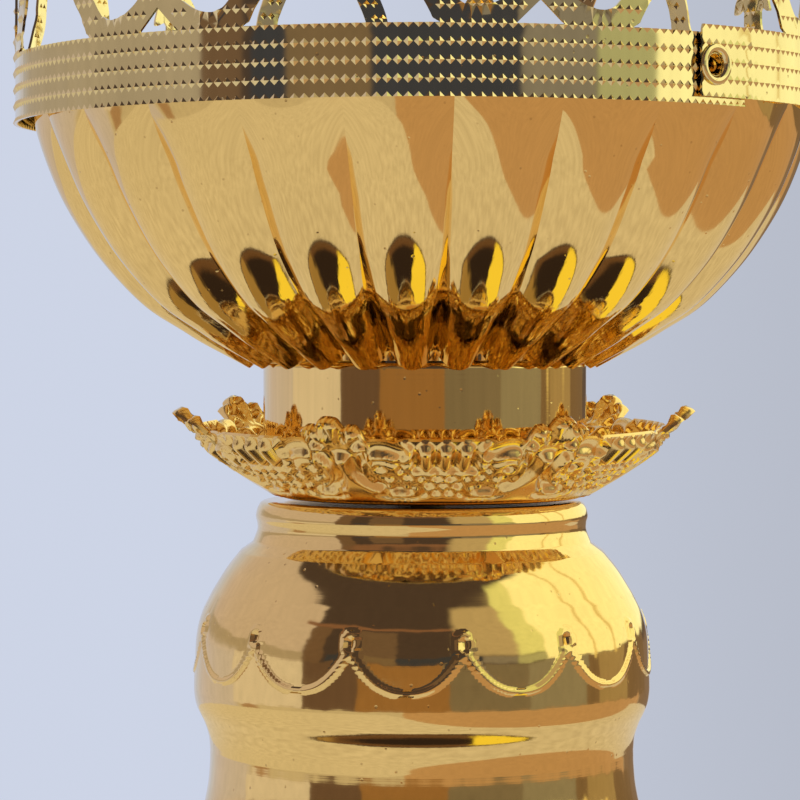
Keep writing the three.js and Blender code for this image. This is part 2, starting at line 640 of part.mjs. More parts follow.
function toSolid(geometry) {
  const bare = geometry.index ? geometry.toNonIndexed() : geometry.clone();
  bare.deleteAttribute('normal');
  bare.deleteAttribute('uv');
  const merged = mergeVertices(bare, 1e-4);
  return new wasm.Manifold(new wasm.Mesh({
    numProp: 3,
    vertProperties: Float32Array.from(merged.attributes.position.array),
    triVerts: Uint32Array.from(merged.index.array),
  }));
}

function toGeometry(solid) {
  const mesh = solid.getMesh();
  const geometry = new THREE.BufferGeometry();
  geometry.setAttribute('position', new THREE.BufferAttribute(mesh.vertProperties, 3));
  geometry.setIndex(new THREE.BufferAttribute(mesh.triVerts, 1));
  return geometry;
}

// A cutter through the rolled strip, from its flat outline round a place along the strip.
function windowCutter(points, centre) {
  const inside = crownRadius / 10;
  const outside = crownRadius / 3;
  const shape = new THREE.Shape(points.map(([x, y]) => new THREE.Vector2(x + centre, y)));
  const prism = new THREE.ExtrudeGeometry(shape, { depth: inside + outside, bevelEnabled: false });
  prism.translate(0, 0, -inside);
  return toSolid(rolled(prism));
}

// Centre line of the arm on the right of a unit, from its neck to the apex over the long gap.
function armPath() {
  return smoothPath([
    [NECK_OUTER - ARM_WIDTH / 2, -ARM_ROOT],
    ...ARM_LOW_BENDS.map(([out, up]) => [NECK_OUTER + out, up]),
    ...ARM_HIGH_BENDS.map(([inward, down]) => [unitWidth / 2 - inward, ARCH_HEIGHT - down]),
    [unitWidth / 2, ARCH_HEIGHT],
  ], ARM_STEPS);
}

// One edge of the arm, a half width off its centre line.
function armEdge(side) {
  const path = armPath();
  return path.map((point, index) => {
    const before = path[Math.max(index - 1, 0)];
    const after = path[Math.min(index + 1, path.length - 1)];
    const normal = leftNormal(before, point, after);
    const half = (side * ARM_WIDTH) / 2;
    return [point[0] + normal[0] * half, point[1] + normal[1] * half];
  });
}

// Right half of the trefoil that stands on each apex, from its foot up to its tip.
function finialHalf() {
  const middle = ARCH_HEIGHT + FINIAL_HEIGHT - 2 * FINIAL_RADIUS;
  const lobe = [-45, 45].map((turn) => [
    FINIAL_RADIUS + FINIAL_LOBE_REACH * Math.cos(degrees(turn)),
    middle + FINIAL_LOBE_RADIUS * Math.sin(degrees(turn)),
  ]);
  const tip = [-10, 90].map((turn) => [
    FINIAL_LOBE_RADIUS * Math.cos(degrees(turn)),
    ARCH_HEIGHT + FINIAL_HEIGHT - FINIAL_LOBE_RADIUS * (1 - Math.sin(degrees(turn))),
  ]);
  const foot = [[FINIAL_FOOT, ARCH_HEIGHT + FINIAL_FOOT_START], [FINIAL_FOOT, middle - FINIAL_FOOT_START]];
  return [...foot, ...lobe, ...tip];
}

// Right half of the barbed stem on a unit's middle line, from the window's foot up to the tip.
function stemHalf() {
  return [
    [(NECK_INNER + NECK_OUTER) / 2, STEM_FOOT_HEIGHT],
    [NECK_INNER + STEM_HALF_WIDTH, STEM_FOOT_HEIGHT * 1.15],
    [NECK_INNER, STEM_FOOT_HEIGHT * 1.6],
    [STEM_HALF_WIDTH, STEM_BARB_HEIGHT - 0.6],
    [STEM_HALF_WIDTH * 1.1, STEM_BARB_HEIGHT + 0.8],
    [STEM_HEAD_HALF_WIDTH, STEM_BARB_HEIGHT],
    [STEM_HEAD_HALF_WIDTH * 0.88, STEM_BARB_HEIGHT + STEM_HEAD_SIDE],
    [STEM_HALF_WIDTH, STEM_HEIGHT - STEM_TIP],
    [0, STEM_HEIGHT],
  ];
}

function mirrored(points) {
  return points.map(([x, y]) => [-x, y]).reverse();
}

// The open air of one unit: both windows beside the stem and the sky between two finials.
function unitSky() {
  const top = ARCH_HEIGHT + FINIAL_HEIGHT * 1.5;
  const skyFoot = stemHalf()[1][1] + FOLD_CLEAR;
  const inner = armEdge(1).filter(([x, y]) => y > skyFoot && x < unitWidth / 2 - FINIAL_FOOT - FOLD_CLEAR);
  const finialSide = finialHalf().map(([x, y]) => [unitWidth / 2 - x, y]);
  const tip = [unitWidth / 2, ARCH_HEIGHT + FINIAL_HEIGHT];
  const right = [...stemHalf().reverse(), ...inner, ...finialSide.slice(0, -1), tip, [unitWidth / 2, top]];
  return [...mirrored(right.slice(1)), ...right];
}

// The long gap between two units, under an apex, round its own middle line.
function longGap() {
  const outer = armEdge(-1).filter(([x, y]) => y > FOLD_CLEAR && x < unitWidth / 2 - FOLD_CLEAR);
  const left = [[NECK_OUTER, 0], ...outer].map(([x, y]) => [x - unitWidth / 2, y]);
  const apex = [0, ARCH_HEIGHT - ARM_WIDTH * 0.75];
  return [...left, apex, ...mirrored(left)];
}

function crownGallery() {
  const length = alongStrip(stripAngle);
  const height = BAND_HEIGHT + ARCH_HEIGHT + FINIAL_HEIGHT;
  const steps = Math.round(stripAngle / STRIP_STEP);
  const sheet = new THREE.BoxGeometry(length, height, STRIP_WALL, steps, 1, 1);
  sheet.translate(length / 2, height / 2 - BAND_HEIGHT, -STRIP_WALL / 2);
  let strip = toSolid(rolled(sheet));
  const neckGap = [[-NECK_INNER, 0], [NECK_INNER, 0], [0, NECK_GAP_HEIGHT]];
  for (let unit = -1; unit <= CROWN_UNITS; unit += 1) {
    const centre = alongStrip(FIRST_UNIT_ANGLE + unit * UNIT_ANGLE);
    const gapCentre = centre + unitWidth / 2;
    for (const cutter of [windowCutter(unitSky(), centre), windowCutter(neckGap, centre),
      windowCutter(longGap(), gapCentre)]) {
      strip = strip.subtract(cutter);
    }
    if (unit >= 0 && unit < CROWN_UNITS) {
      strip = strip.add(tongue(gapCentre));
    }
  }
  const bore = new THREE.CylinderGeometry(eyeletHole, eyeletHole, crownRadius / 9, SMALL_SIDES);
  return strip.subtract(toSolid(towardsEyelet(bore.rotateX(Math.PI / 2))));
}

// A tongue bent in from the strip at the foot of a long gap, which rests on the bowl's rim.
function tongue(centre) {
  const length = CROWN_SLIP + TONGUE_REST;
  const flap = new THREE.BoxGeometry(TONGUE_WIDTH, TONGUE_THICKNESS, length, 2, 1, 1);
  flap.translate(centre, -TONGUE_THICKNESS / 2, -(length + STRIP_WALL) / 2);
  return toSolid(rolled(flap));
}

const eyeletHole = EYELET_BORE_RADIUS + EYELET_WALL + CONTACT_GAP;
const lapMiddle = crownRadius - (STRIP_WALL + lapPitch) / 2;

// Places a piece made round the Z axis on the line that runs out through the lap at the eyelet.
function towardsEyelet(geometry) {
  const height = bandTop + STRIP_RISE / 2 - BAND_HEIGHT / 2;
  geometry.rotateX(Math.PI / 2).translate(0, -lapMiddle, height);
  return geometry.rotateZ(degrees(LAP_START + EYELET_ANGLE));
}

// Tubular eyelet: a short tube with a flange on each side of the lapped ends.
function crownEyelet() {
  const inner = EYELET_BORE_RADIUS;
  const outer = EYELET_BORE_RADIUS + EYELET_WALL;
  const half = (STRIP_WALL + lapPitch) / 2 + EYELET_GRIP_GAP;
  return towardsEyelet(turned([
    [inner, -half - EYELET_FLANGE_THICKNESS],
    [EYELET_FLANGE_RADIUS, -half - EYELET_FLANGE_THICKNESS],
    [EYELET_FLANGE_RADIUS, -half],
    [outer, -half],
    [outer, half],
    [EYELET_FLANGE_RADIUS, half],
    [EYELET_FLANGE_RADIUS, half + EYELET_FLANGE_THICKNESS],
    [inner, half + EYELET_FLANGE_THICKNESS],
  ], SMALL_SIDES));
}

addFoot();
addStem();
addCollar();
addBowl();
addRod();
addFloat();
addPiece('crown_gallery', toGeometry(crownGallery()), GILT);
addPiece('crown_eyelet', crownEyelet(), GILT);

export default lamp;
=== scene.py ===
"""Surfaces and finishes of a standing vigil lamp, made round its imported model.

The file is laid out as an add-on and is run as a script. Lengths in the drawing functions are millimetres.
Angles are degrees from the front, which is -Y, towards +X.
"""

import math

import bmesh
import bpy
import numpy as np
from bpy.props import FloatProperty, FloatVectorProperty, IntProperty, PointerProperty
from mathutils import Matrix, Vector
from mathutils.geometry import delaunay_2d_cdt


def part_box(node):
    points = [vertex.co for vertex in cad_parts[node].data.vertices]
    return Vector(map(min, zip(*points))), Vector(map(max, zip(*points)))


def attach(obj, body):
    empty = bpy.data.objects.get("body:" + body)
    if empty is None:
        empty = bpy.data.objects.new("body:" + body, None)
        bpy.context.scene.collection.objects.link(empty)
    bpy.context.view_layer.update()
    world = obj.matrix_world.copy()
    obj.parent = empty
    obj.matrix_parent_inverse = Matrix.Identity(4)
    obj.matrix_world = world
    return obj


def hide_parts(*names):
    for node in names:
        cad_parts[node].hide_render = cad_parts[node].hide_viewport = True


bl_info = {
    "name": "Standing vigil lamp",
    "version": (1, 0, 0),
    "blender": (4, 5, 0),
    "location": "View3D > Sidebar > Lamp",
    "description": "Makes the pressed gilt shells, crown, glass and float of a standing vigil lamp",
    "category": "Add Mesh",
}

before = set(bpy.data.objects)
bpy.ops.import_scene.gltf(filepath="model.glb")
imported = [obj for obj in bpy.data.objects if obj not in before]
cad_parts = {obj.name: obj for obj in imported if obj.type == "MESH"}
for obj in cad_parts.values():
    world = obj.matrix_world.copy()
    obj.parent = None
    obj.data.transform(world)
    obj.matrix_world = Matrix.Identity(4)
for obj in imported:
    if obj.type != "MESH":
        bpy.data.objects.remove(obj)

MM = 0.001


def low(node):
    """Height of a node's lowest point, in millimetres."""
    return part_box(node)[0].z / MM


def high(node):
    """Height of a node's highest point, in millimetres."""
    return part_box(node)[1].z / MM


def radius(node):
    """Half the width of a node across the front, in millimetres."""
    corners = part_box(node)
    return (corners[1].x - corners[0].x) / 2 / MM


# Sizes and colours that a user would change


def length(name, millimetres, description):
    """A length property, with its default given in millimetres."""
    return FloatProperty(name=name, description=description, default=millimetres * MM, unit="LENGTH")


def number(name, value, description):
    """A whole number property."""
    return IntProperty(name=name, description=description, default=value)


def angle(name, degrees, description):
    """An angle property, with its default given in degrees."""
    return FloatProperty(name=name, description=description, default=math.radians(degrees), subtype="ANGLE")


def colour(name, value, description):
    """A colour property."""
    return FloatVectorProperty(name=name, description=description, default=value, size=3, subtype="COLOR")


class LampSizes(bpy.types.PropertyGroup):
    """Sizes of the lamp's pressed and stamped pieces."""

    sheet: length("Sheet", 0.6, "Thickness of the pressed shells")
    lobes: number("Lobes", 24, "Number of lobes round the bowl and the foot")
    lobe_turn: angle("Lobe turn", 4.3, "Where the bowl's first groove lies")
    lobe_depth: length("Lobe depth", 2.3, "Depth of the grooves between the bowl's lobes")
    crown_strip: length("Strip", 0.35, "Thickness of the crown's strip")
    crown_radius: length("Crown radius", 55, "Outer radius of the crown's strip")
    band_height: length("Band height", 8.7, "Height of the crown's plain band")
    unit_angle: angle("Unit", 51.07, "Angle of one unit of the crown's openwork")
    lap_start: angle("Lap", 38, "Where the strip's outer end lies")
    stud_pitch: length("Stud pitch", 1.26, "Distance between the embossed studs along the strip")
    stud_row: length("Stud row", 2.16, "Distance between the rows of studs")
    stud_width: length("Stud width", 1.14, "Width of one embossed stud")
    stud_height: length("Stud height", 1.16, "Height of one embossed stud")
    stud_rise: length("Stud rise", 0.27, "How far a stud stands out of the strip")
    tray_units: number("Tray units", 7, "Number of buds round the tray")
    tray_turn: angle("Tray turn", -22.5, "Where the tray's first bud lies")
    tray_relief: length("Tray relief", 1.45, "Height of the tray's stamped scrolls")
    swags: number("Swags", 13, "Number of swags round the vase")
    swag_turn: angle("Swag turn", 10.2, "Where the joint of two swags lies")
    swag_rise: length("Swag rise", 0.22, "How far the swags stand out of the vase")


class LampColours(bpy.types.PropertyGroup):
    """Colours of the lamp's materials."""

    gilt: colour("Gilt", (0.96, 0.70, 0.30), "Gold lacquer")
    strip: colour("Strip", (0.90, 0.75, 0.42), "Paler gold of the crown's strip")
    brass: colour("Brass", (0.80, 0.58, 0.25), "Plain brass of the float")
    steel: colour("Steel", (0.56, 0.57, 0.59), "Zinc-plated steel")
    iron: colour("Iron", (0.045, 0.045, 0.05), "Black casting")
    felt: colour("Felt", (0.05, 0.02, 0.015), "Felt under the foot")
    cork: colour("Cork", (0.47, 0.28, 0.13), "Cork of the float")
    cotton: colour("Cotton", (0.82, 0.77, 0.64), "Cotton of the wick")
    backdrop: colour("Backdrop", (0.61, 0.66, 0.79), "Plain backdrop")
    backdrop_shade: colour("Backdrop shade", (0.47, 0.50, 0.58), "Backdrop away from the light")


def sizes():
    """The scene's lamp sizes, with lengths in millimetres and angles in degrees."""
    group = bpy.context.scene.lamp_sizes
    found = {}
    for name, prop in group.bl_rna.properties.items():
        if prop.type == "FLOAT":
            value = getattr(group, name)
            found[name] = math.degrees(value) if prop.unit == "ROTATION" else value / MM
        elif prop.type == "INT":
            found[name] = getattr(group, name)
    return found


def tint(name, share=1.0):
    """One of the scene's lamp colours times a share, with full alpha."""
    return (*(share * part for part in getattr(bpy.context.scene.lamp_colours, name)), 1.0)


# Node trees


class Value:
    """A number in a node tree. Sums and products of such values add Math nodes."""

    def __init__(self, nodes, socket):
        self.nodes = nodes
        self.socket = socket

    def math(self, operation, *others):
        inputs = dict(enumerate((self, *others)))
        return self.nodes.value("ShaderNodeMath", {"operation": operation}, inputs)

    def __add__(self, other):
        return self.math("ADD", other)

    def __sub__(self, other):
        return self.math("SUBTRACT", other)

    def __mul__(self, other):
        return self.math("MULTIPLY", other)

    def __truediv__(self, other):
        return self.math("DIVIDE", other)

    def __rsub__(self, other):
        return (self * -1.0) + other

    __radd__ = __add__
    __rmul__ = __mul__

    def sine(self):
        return self.math("SINE")

    def above(self, threshold, width):
        """0 below the threshold, 1 above it, with a soft step of that width."""
        return self.nodes.value(
            "ShaderNodeMapRange",
            {"interpolation_type": "SMOOTHSTEP"},
            {"Value": self, "From Min": threshold - width / 2, "From Max": threshold + width / 2},
        )


class Nodes:
    """Adds nodes to a tree, with their settings first and the values or links of their sockets after."""

    def __init__(self, tree):
        self.tree = tree

    def add(self, kind, settings=None, inputs=None):
        node = self.tree.nodes.new(kind)
        for name, setting in (settings or {}).items():
            setattr(node, name, setting)
        for key, given in (inputs or {}).items():
            self.feed(node.inputs[key], given)
        return node

    def feed(self, socket, given):
        if isinstance(given, Value):
            given = given.socket
        if isinstance(given, bpy.types.NodeSocket):
            self.tree.links.new(given, socket)
        else:
            socket.default_value = given

    def value(self, kind, settings=None, inputs=None, output=0):
        return Value(self, self.add(kind, settings, inputs).outputs[output])

    def mix(self, factor, first, second, blend="MIX"):
        """The colour between two others."""
        settings = {"data_type": "RGBA", "blend_type": blend}
        return self.add("ShaderNodeMix", settings, {0: factor, 6: first, 7: second}).outputs[2]


# Materials

FINISHES = {}


def finish(name):
    """The material of that name, made when it is first asked for."""
    if name not in bpy.data.materials:
        made = bpy.data.materials.new(name)
        made.use_nodes = True
        made.node_tree.nodes.clear()
        nodes = Nodes(made.node_tree)
        output = nodes.add("ShaderNodeOutputMaterial")
        nodes.feed(output.inputs["Surface"], FINISHES[name](nodes))
    return bpy.data.materials[name]


def listed(maker):
    """Lists a material maker under its own name."""
    FINISHES[maker.__name__] = maker
    return maker


def object_place(nodes):
    """Object coordinates, in metres."""
    return nodes.add("ShaderNodeTexCoord").outputs["Object"]


def axes(nodes, place=None):
    """The X, Y and Z of a place or direction, which is the place in object space unless it is given."""
    parts = nodes.add("ShaderNodeSeparateXYZ", None, {"Vector": place or object_place(nodes)})
    return [Value(nodes, part) for part in parts.outputs]


def joined(nodes, **parts):
    """A vector of the given X, Y and Z."""
    return nodes.add("ShaderNodeCombineXYZ", None, parts).outputs[0]


def noise(nodes, scale, detail=3.0, roughness=0.5, place=None):
    """Noise in object space, about one blotch per 1/scale metres."""
    inputs = {"Vector": place or object_place(nodes), "Scale": scale}
    inputs |= {"Detail": detail, "Roughness": roughness}
    return nodes.value("ShaderNodeTexNoise", None, inputs)


def bump(nodes, height, distance):
    """The normal of a surface whose relief is a height of 0 to 1 times a distance in metres."""
    return nodes.add("ShaderNodeBump", None, {"Height": height, "Distance": distance}).outputs[0]


def surface(nodes, inputs):
    """A surface shader with those inputs."""
    return nodes.add("ShaderNodeBsdfPrincipled", None, inputs).outputs[0]


def spin_lines(nodes, spacing):
    """Fine uneven rings left by the spinning chuck, by height, with that spacing in metres."""
    height = axes(nodes)[2]
    return noise(nodes, 1.0, 2.0, 0.6, joined(nodes, Z=height / spacing))


def specks(nodes, scale, share):
    """Small pits and dust in the lacquer: 1 inside a speck."""
    inputs = {"Vector": object_place(nodes), "Scale": scale}
    distance = nodes.value("ShaderNodeTexVoronoi", {"feature": "F1"}, inputs)
    return 1.0 - distance.above(share, share)


def meridian_streaks(nodes, top):
    """Fine marks that run up and down the piece, at full strength below a height in metres."""
    marks_per_radian, mark_length, fade = 38.0, 0.004, 0.004
    x, y, z = axes(nodes)
    place = joined(nodes, X=x.math("ARCTAN2", y) * marks_per_radian, Y=z / mark_length)
    return noise(nodes, 1.0, 3.0, 0.6, place) * (1.03 - z.above(top, fade))


def gilt_surface(nodes, waves, lines, roughness, base="gilt", marks=0.0):
    """Gold lacquer on polished metal, with its waviness and spin lines in metres of relief."""
    blotch = noise(nodes, 60.0)
    speck = specks(nodes, 420.0, 0.07)
    shade = nodes.mix(blotch.above(0.55, 0.5), tint(base), tint(base, 0.94))
    pitted = nodes.mix(speck * 0.35, shade, (0.35, 0.20, 0.07, 1.0))
    rings = spin_lines(nodes, 0.00035)
    relief = noise(nodes, 260.0, 2.0) * waves + rings * lines - speck * 0.000012 + marks
    return surface(nodes, {
        "Base Color": pitted,
        "Metallic": 1.0,
        "Roughness": blotch * 0.03 + speck * 0.2 + roughness,
        "Normal": bump(nodes, relief, 1.0),
    })


@listed
def gilt_spun(nodes):
    """The vase, collar, stem and foot, spun smooth."""
    return gilt_surface(nodes, 0.000009, 0.0000022, 0.055)


@listed
def gilt_lobed(nodes):
    """The bowl, pressed over a former that left it faintly streaked."""
    return gilt_surface(nodes, 0.000008, 0.0, 0.05, marks=meridian_streaks(nodes, 0.190) * 0.00005)


@listed
def gilt_strip(nodes):
    """The crown's thin strip, flat between its studs."""
    return gilt_surface(nodes, 0.000009, 0.0, 0.05, "strip")


@listed
def gilt_stamped(nodes):
    """The tray, with the softer polish of stamped metal."""
    return gilt_surface(nodes, 0.00003, 0.0, 0.17)


@listed
def brass_plain(nodes):
    """Bright brass with a faint tarnish."""
    tarnish = noise(nodes, 300.0, 4.0).above(0.58, 0.3)
    return surface(nodes, {
        "Base Color": nodes.mix(tarnish, tint("brass"), (0.42, 0.26, 0.10, 1.0)),
        "Metallic": 1.0,
        "Roughness": tarnish * 0.2 + 0.2,
        "Normal": bump(nodes, noise(nodes, 900.0), 0.00001),
    })


@listed
def steel_plated(nodes):
    """Zinc plating with a soft spangle and fine lathe marks."""
    spangle = nodes.value("ShaderNodeTexVoronoi", None, {"Vector": object_place(nodes), "Scale": 700.0})
    return surface(nodes, {
        "Base Color": nodes.mix(spangle.above(0.4, 0.6), tint("steel"), (0.66, 0.67, 0.70, 1.0)),
        "Metallic": 1.0,
        "Roughness": spangle * 0.15 + 0.26,
        "Normal": bump(nodes, spin_lines(nodes, 0.0003), 0.00001),
    })


@listed
def iron_cast(nodes):
    """Rough black casting with a little rust."""
    grain = noise(nodes, 500.0, 6.0, 0.65)
    rust = noise(nodes, 90.0, 4.0).above(0.62, 0.15)
    return surface(nodes, {
        "Base Color": nodes.mix(rust * 0.6, tint("iron"), (0.16, 0.06, 0.025, 1.0)),
        "Metallic": 0.6,
        "Roughness": grain * 0.3 + 0.5,
        "Normal": bump(nodes, grain, 0.0004),
    })


@listed
def felt_pressed(nodes):
    """Pressed wool felt with fine tangled hairs."""
    hairs = noise(nodes, 2500.0, 6.0, 0.7)
    return surface(nodes, {
        "Base Color": nodes.mix(hairs.above(0.5, 0.5), tint("felt"), tint("felt", 2.2)),
        "Roughness": hairs * 0.1 + 0.88,
        "Sheen Weight": 0.4,
        "Normal": bump(nodes, hairs, 0.0004),
    })


@listed
def glass_clear(nodes):
    """Clear pressed glass with a faint waviness."""
    return surface(nodes, {
        "Base Color": nodes.mix(noise(nodes, 40.0), (0.97, 0.99, 0.98, 1.0), (0.93, 0.97, 0.95, 1.0)),
        "Roughness": noise(nodes, 80.0) * 0.02 + 0.005,
        "IOR": 1.52,
        "Transmission Weight": 1.0,
        "Normal": bump(nodes, noise(nodes, 120.0), 0.00003),
    })


@listed
def cork_cut(nodes):
    """Cut cork: pale grain, brown pores and cracks."""
    grain = noise(nodes, 700.0, 5.0, 0.6)
    pores = nodes.value("ShaderNodeTexVoronoi", None, {"Vector": object_place(nodes), "Scale": 620.0})
    hole = 1.0 - pores.above(0.2, 0.12)
    shaded = nodes.mix(grain.above(0.5, 0.4), tint("cork"), (0.62, 0.41, 0.21, 1.0))
    return surface(nodes, {
        "Base Color": nodes.mix(hole * 0.8, shaded, (0.13, 0.06, 0.025, 1.0)),
        "Roughness": grain * 0.1 + 0.8,
        "Normal": bump(nodes, grain * 0.4 - hole, 0.0003),
    })


@listed
def cotton_plaited(nodes):
    """Waxed cotton, plaited in fine strands."""
    x, _, z = axes(nodes)
    across, rise = x * 9000.0, z * 5200.0
    plait = ((rise + across).sine() * (rise - across).sine()) * 0.5 + 0.5
    # painted shade: the cotton's colour is darker where the plait's relief is low, between the strands
    return surface(nodes, {
        "Base Color": nodes.mix(plait, (0.58, 0.50, 0.36, 1.0), tint("cotton")),
        "Roughness": plait * 0.1 + 0.75,
        "Sheen Weight": 0.2,
        "Normal": bump(nodes, plait, 0.0002),
    })


# Drawing in millimetres


def through(points, steps):
    """Points of a smooth curve through the given ones, with that many steps between two of them."""
    given = np.array(points, float)
    padded = np.vstack([2 * given[0] - given[1], given, 2 * given[-1] - given[-2]])
    made = []
    for index in range(len(given) - 1):
        before, start, end, after = padded[index:index + 4]
        square = 2 * before - 5 * start + 4 * end - after
        cube = 3 * start - before - 3 * end + after
        for t in np.arange(steps) / steps:
            made.append(0.5 * (2 * start + (end - before) * t + square * t**2 + cube * t**3))
    return np.array([*made, given[-1]])


def softened(points, reach, steps=4):
    """The same outline with each corner rounded off over a short reach."""
    given = np.array(points, float)
    made = [given[0]]
    for before, corner, after in zip(given, given[1:], given[2:]):
        near = min(reach, np.linalg.norm(before - corner) / 2, np.linalg.norm(after - corner) / 2)
        start = corner + (before - corner) / np.linalg.norm(before - corner) * near
        end = corner + (after - corner) / np.linalg.norm(after - corner) * near
        for t in np.arange(steps + 1) / steps:
            made.append((1 - t)**2 * start + 2 * t * (1 - t) * corner + t**2 * end)
    return np.array([*made, given[-1]])


def smooth_step(value, start, end):
    """0 before start, 1 after end, and a smooth rise between them."""
    share = np.clip((value - start) / (end - start), 0, 1)
    return share * share * (3 - 2 * share)


def held(section):
    """The same section with points close to both ends of its long runs, so that they shade flat."""
    long_run, close = 2, 0.1
    made = []
    for start, end in zip(section, section[1:]):
        made.append(start)
        span = np.linalg.norm(end - start)
        if span > long_run:
            made += [start + (end - start) * close / span, end - (end - start) * close / span]
    return np.array([*made, section[-1]])


def left_normals(path):
    """Unit normals on the left of an open path."""
    along = np.gradient(path, axis=0)
    along /= np.linalg.norm(along, axis=1)[:, None] + 1e-12
    return np.stack([-along[:, 1], along[:, 0]], axis=1)


def sheet_section(outer, wall, coarse=1):
    """The closed section of a pressed wall: its outer face going up and its inner face back down."""
    inner = (outer + left_normals(outer) * wall)[::-1]
    return np.vstack([outer, inner[:1], inner[1:-1:coarse], inner[-1:]])


def round_angles(count, groove_turn=None, per_lobe=16):
    """Angles round a piece in radians, evenly spread or drawn together at the grooves of its lobes."""
    if groove_turn is None:
        return np.arange(count) * 2 * math.pi / count
    even = np.arange(per_lobe) / per_lobe
    drawn = (1 - np.cos(even * math.pi)) / 2
    starts = np.arange(count)[:, None] + (drawn + even)[None, :] / 2
    return np.radians(groove_turn) + starts.ravel() * 2 * math.pi / count


def grid_faces(rows, columns):
    """Faces of a grid of points that closes on itself both ways."""
    row, column = np.meshgrid(np.arange(rows), np.arange(columns), indexing="ij")
    next_row = (row + 1) % rows
    next_column = (column + 1) % columns
    corners = [row * columns + column, row * columns + next_column,
               next_row * columns + next_column, next_row * columns + column]
    return np.stack([c.ravel() for c in corners], axis=1).tolist()


def placed(name, data):
    """A new object in the scene that shows a mesh, a light or a camera."""
    made = bpy.data.objects.new(name, data)
    bpy.context.scene.collection.objects.link(made)
    return made


def make_object(name, points, faces, sharp=40):
    """A mesh object from points in millimetres, with an edge left hard from that angle in degrees."""
    mesh = bpy.data.meshes.new(name)
    mesh.from_pydata((np.asarray(points) * MM).tolist(), [], faces)
    clean(mesh)
    mesh.shade_smooth()
    mesh.set_sharp_from_angle(angle=math.radians(sharp))
    return placed(name, mesh)


def clean(mesh):
    """Merges doubled points, drops the faces that vanish with them and turns every face outwards."""
    work = bmesh.new()
    work.from_mesh(mesh)
    bmesh.ops.remove_doubles(work, verts=work.verts, dist=0.000002)
    bmesh.ops.dissolve_degenerate(work, edges=work.edges, dist=0.0000005)
    bmesh.ops.recalc_face_normals(work, faces=work.faces)
    work.to_mesh(mesh)
    work.free()


def turned(name, section, angles=None, move=None, offset=0.0, sharp=40):
    """A closed section of radii and heights turned about the lamp's axis, then moved by a function."""
    angles = round_angles(192) if angles is None else angles
    section = held(np.asarray(section, float))
    turn, reach = np.meshgrid(angles, section[:, 0])
    height = np.repeat(section[:, 1][:, None], len(angles), axis=1)
    if move:
        reach, height = move(reach, height, turn)
    points = np.stack([reach * np.sin(turn) + offset, -reach * np.cos(turn), height], axis=-1)
    return make_object(name, points.reshape(-1, 3), grid_faces(len(section), len(angles)), sharp)


def coat(piece, material):
    """Gives a piece its only material."""
    piece.data.materials.clear()
    piece.data.materials.append(finish(material))


def dress(piece, body, slot, material, *nodes):
    """Gives a finished piece its material, its body and the nodes that it stands for; its slot is not used."""
    coat(piece, material)
    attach(piece, body)
    if nodes:
        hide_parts(*nodes)


# Pieces


# Depth of the bowl's grooves by the height above its floor, for grooves that are 2.3 deep at most
GROOVE_LEVELS = np.array([-2, 3, 12, 19, 24, 28, 33, 36])
GROOVE_DEPTHS = np.array([2.7, 2.6, 2.2, 2.3, 2.1, 1.35, 0.4, 0]) / 2.3


class LAMP_OT_bowl(bpy.types.Operator):
    """Make the gadrooned bowl"""

    bl_idname = "lamp.bowl"
    bl_label = "Bowl"

    def execute(self, context):
        size = sizes()
        across = radius("bowl_shell")
        rim = high("bowl_shell")
        floor = rim - 39.5
        floor_radius = radius("bowl_collar") - 7.4
        side = through([
            (floor_radius + 1, floor - 1.2), (26.8, floor + 0.5), (30, floor + 2.2), (32.6, floor + 3.8),
            (37.3, floor + 6.8), (across - 11.05, floor + 10.95), (across - 7.5, floor + 15.45),
            (across - 3.95, floor + 21.4), (across - 1.35, floor + 27.95), (across - 0.3, floor + 32.7),
            (across, rim - 0.8),
        ], 8)
        bottom = [(4, floor), (floor_radius - 0.8, floor), (floor_radius + 0.1, floor - 0.5)]
        outer = np.vstack([bottom, side, [(across - 0.25, rim - 0.15), (across - 0.6, rim)]])

        leans = np.arctan2(*-left_normals(side).T[::-1])

        def lobed(reach, height, turn):
            """Sinks the wall towards the edges of each lobe, square to its profile."""
            share = (size["lobes"] * (turn - math.radians(size["lobe_turn"])) / (2 * math.pi)) % 1
            deep = size["lobe_depth"] * np.interp(height, floor + GROOVE_LEVELS, GROOVE_DEPTHS)
            deep *= smooth_step(reach, floor_radius - 0.75, floor_radius + 0.1)
            lean = np.interp(height, side[:, 1], leans)
            groove = deep * (2 * share - 1)**2
            return reach - groove * np.cos(lean), height + groove * np.sin(-lean)

        angles = round_angles(size["lobes"], size["lobe_turn"], 20)
        section = sheet_section(outer, size["sheet"], 3)
        bowl = turned("gadrooned_bowl", section, angles, lobed, sharp=14)
        dress(bowl, "lamp", "gilt", "gilt_lobed", "bowl_shell")
        return {"FINISHED"}


class LAMP_OT_collar(bpy.types.Operator):
    """Make the spun collar"""

    bl_idname = "lamp.collar"
    bl_label = "Collar"

    def execute(self, context):
        foot, top = low("bowl_collar") - 2.9, high("bowl_collar")
        neck = radius("bowl_collar") - 8.15
        edge = foot + 2.6
        outline = [
            (neck - 0.75, foot), (neck - 0.75, edge - 0.3), (neck - 0.9, edge - 0.05),
            (neck - 0.5, edge + 0.2), (neck - 0.2, edge + 0.85), (neck - 0.06, edge + 1.75),
            (neck, edge + 3.0), (neck, top - 0.4), (neck - 0.3, top),
        ]
        section = sheet_section(softened(outline, 0.3), sizes()["sheet"])
        dress(turned("spun_collar", section, offset=0.4), "lamp", "gilt", "gilt_spun", "bowl_collar")
        return {"FINISHED"}


# Tray relief, drawn flat: across from a bud's middle and down from the rim


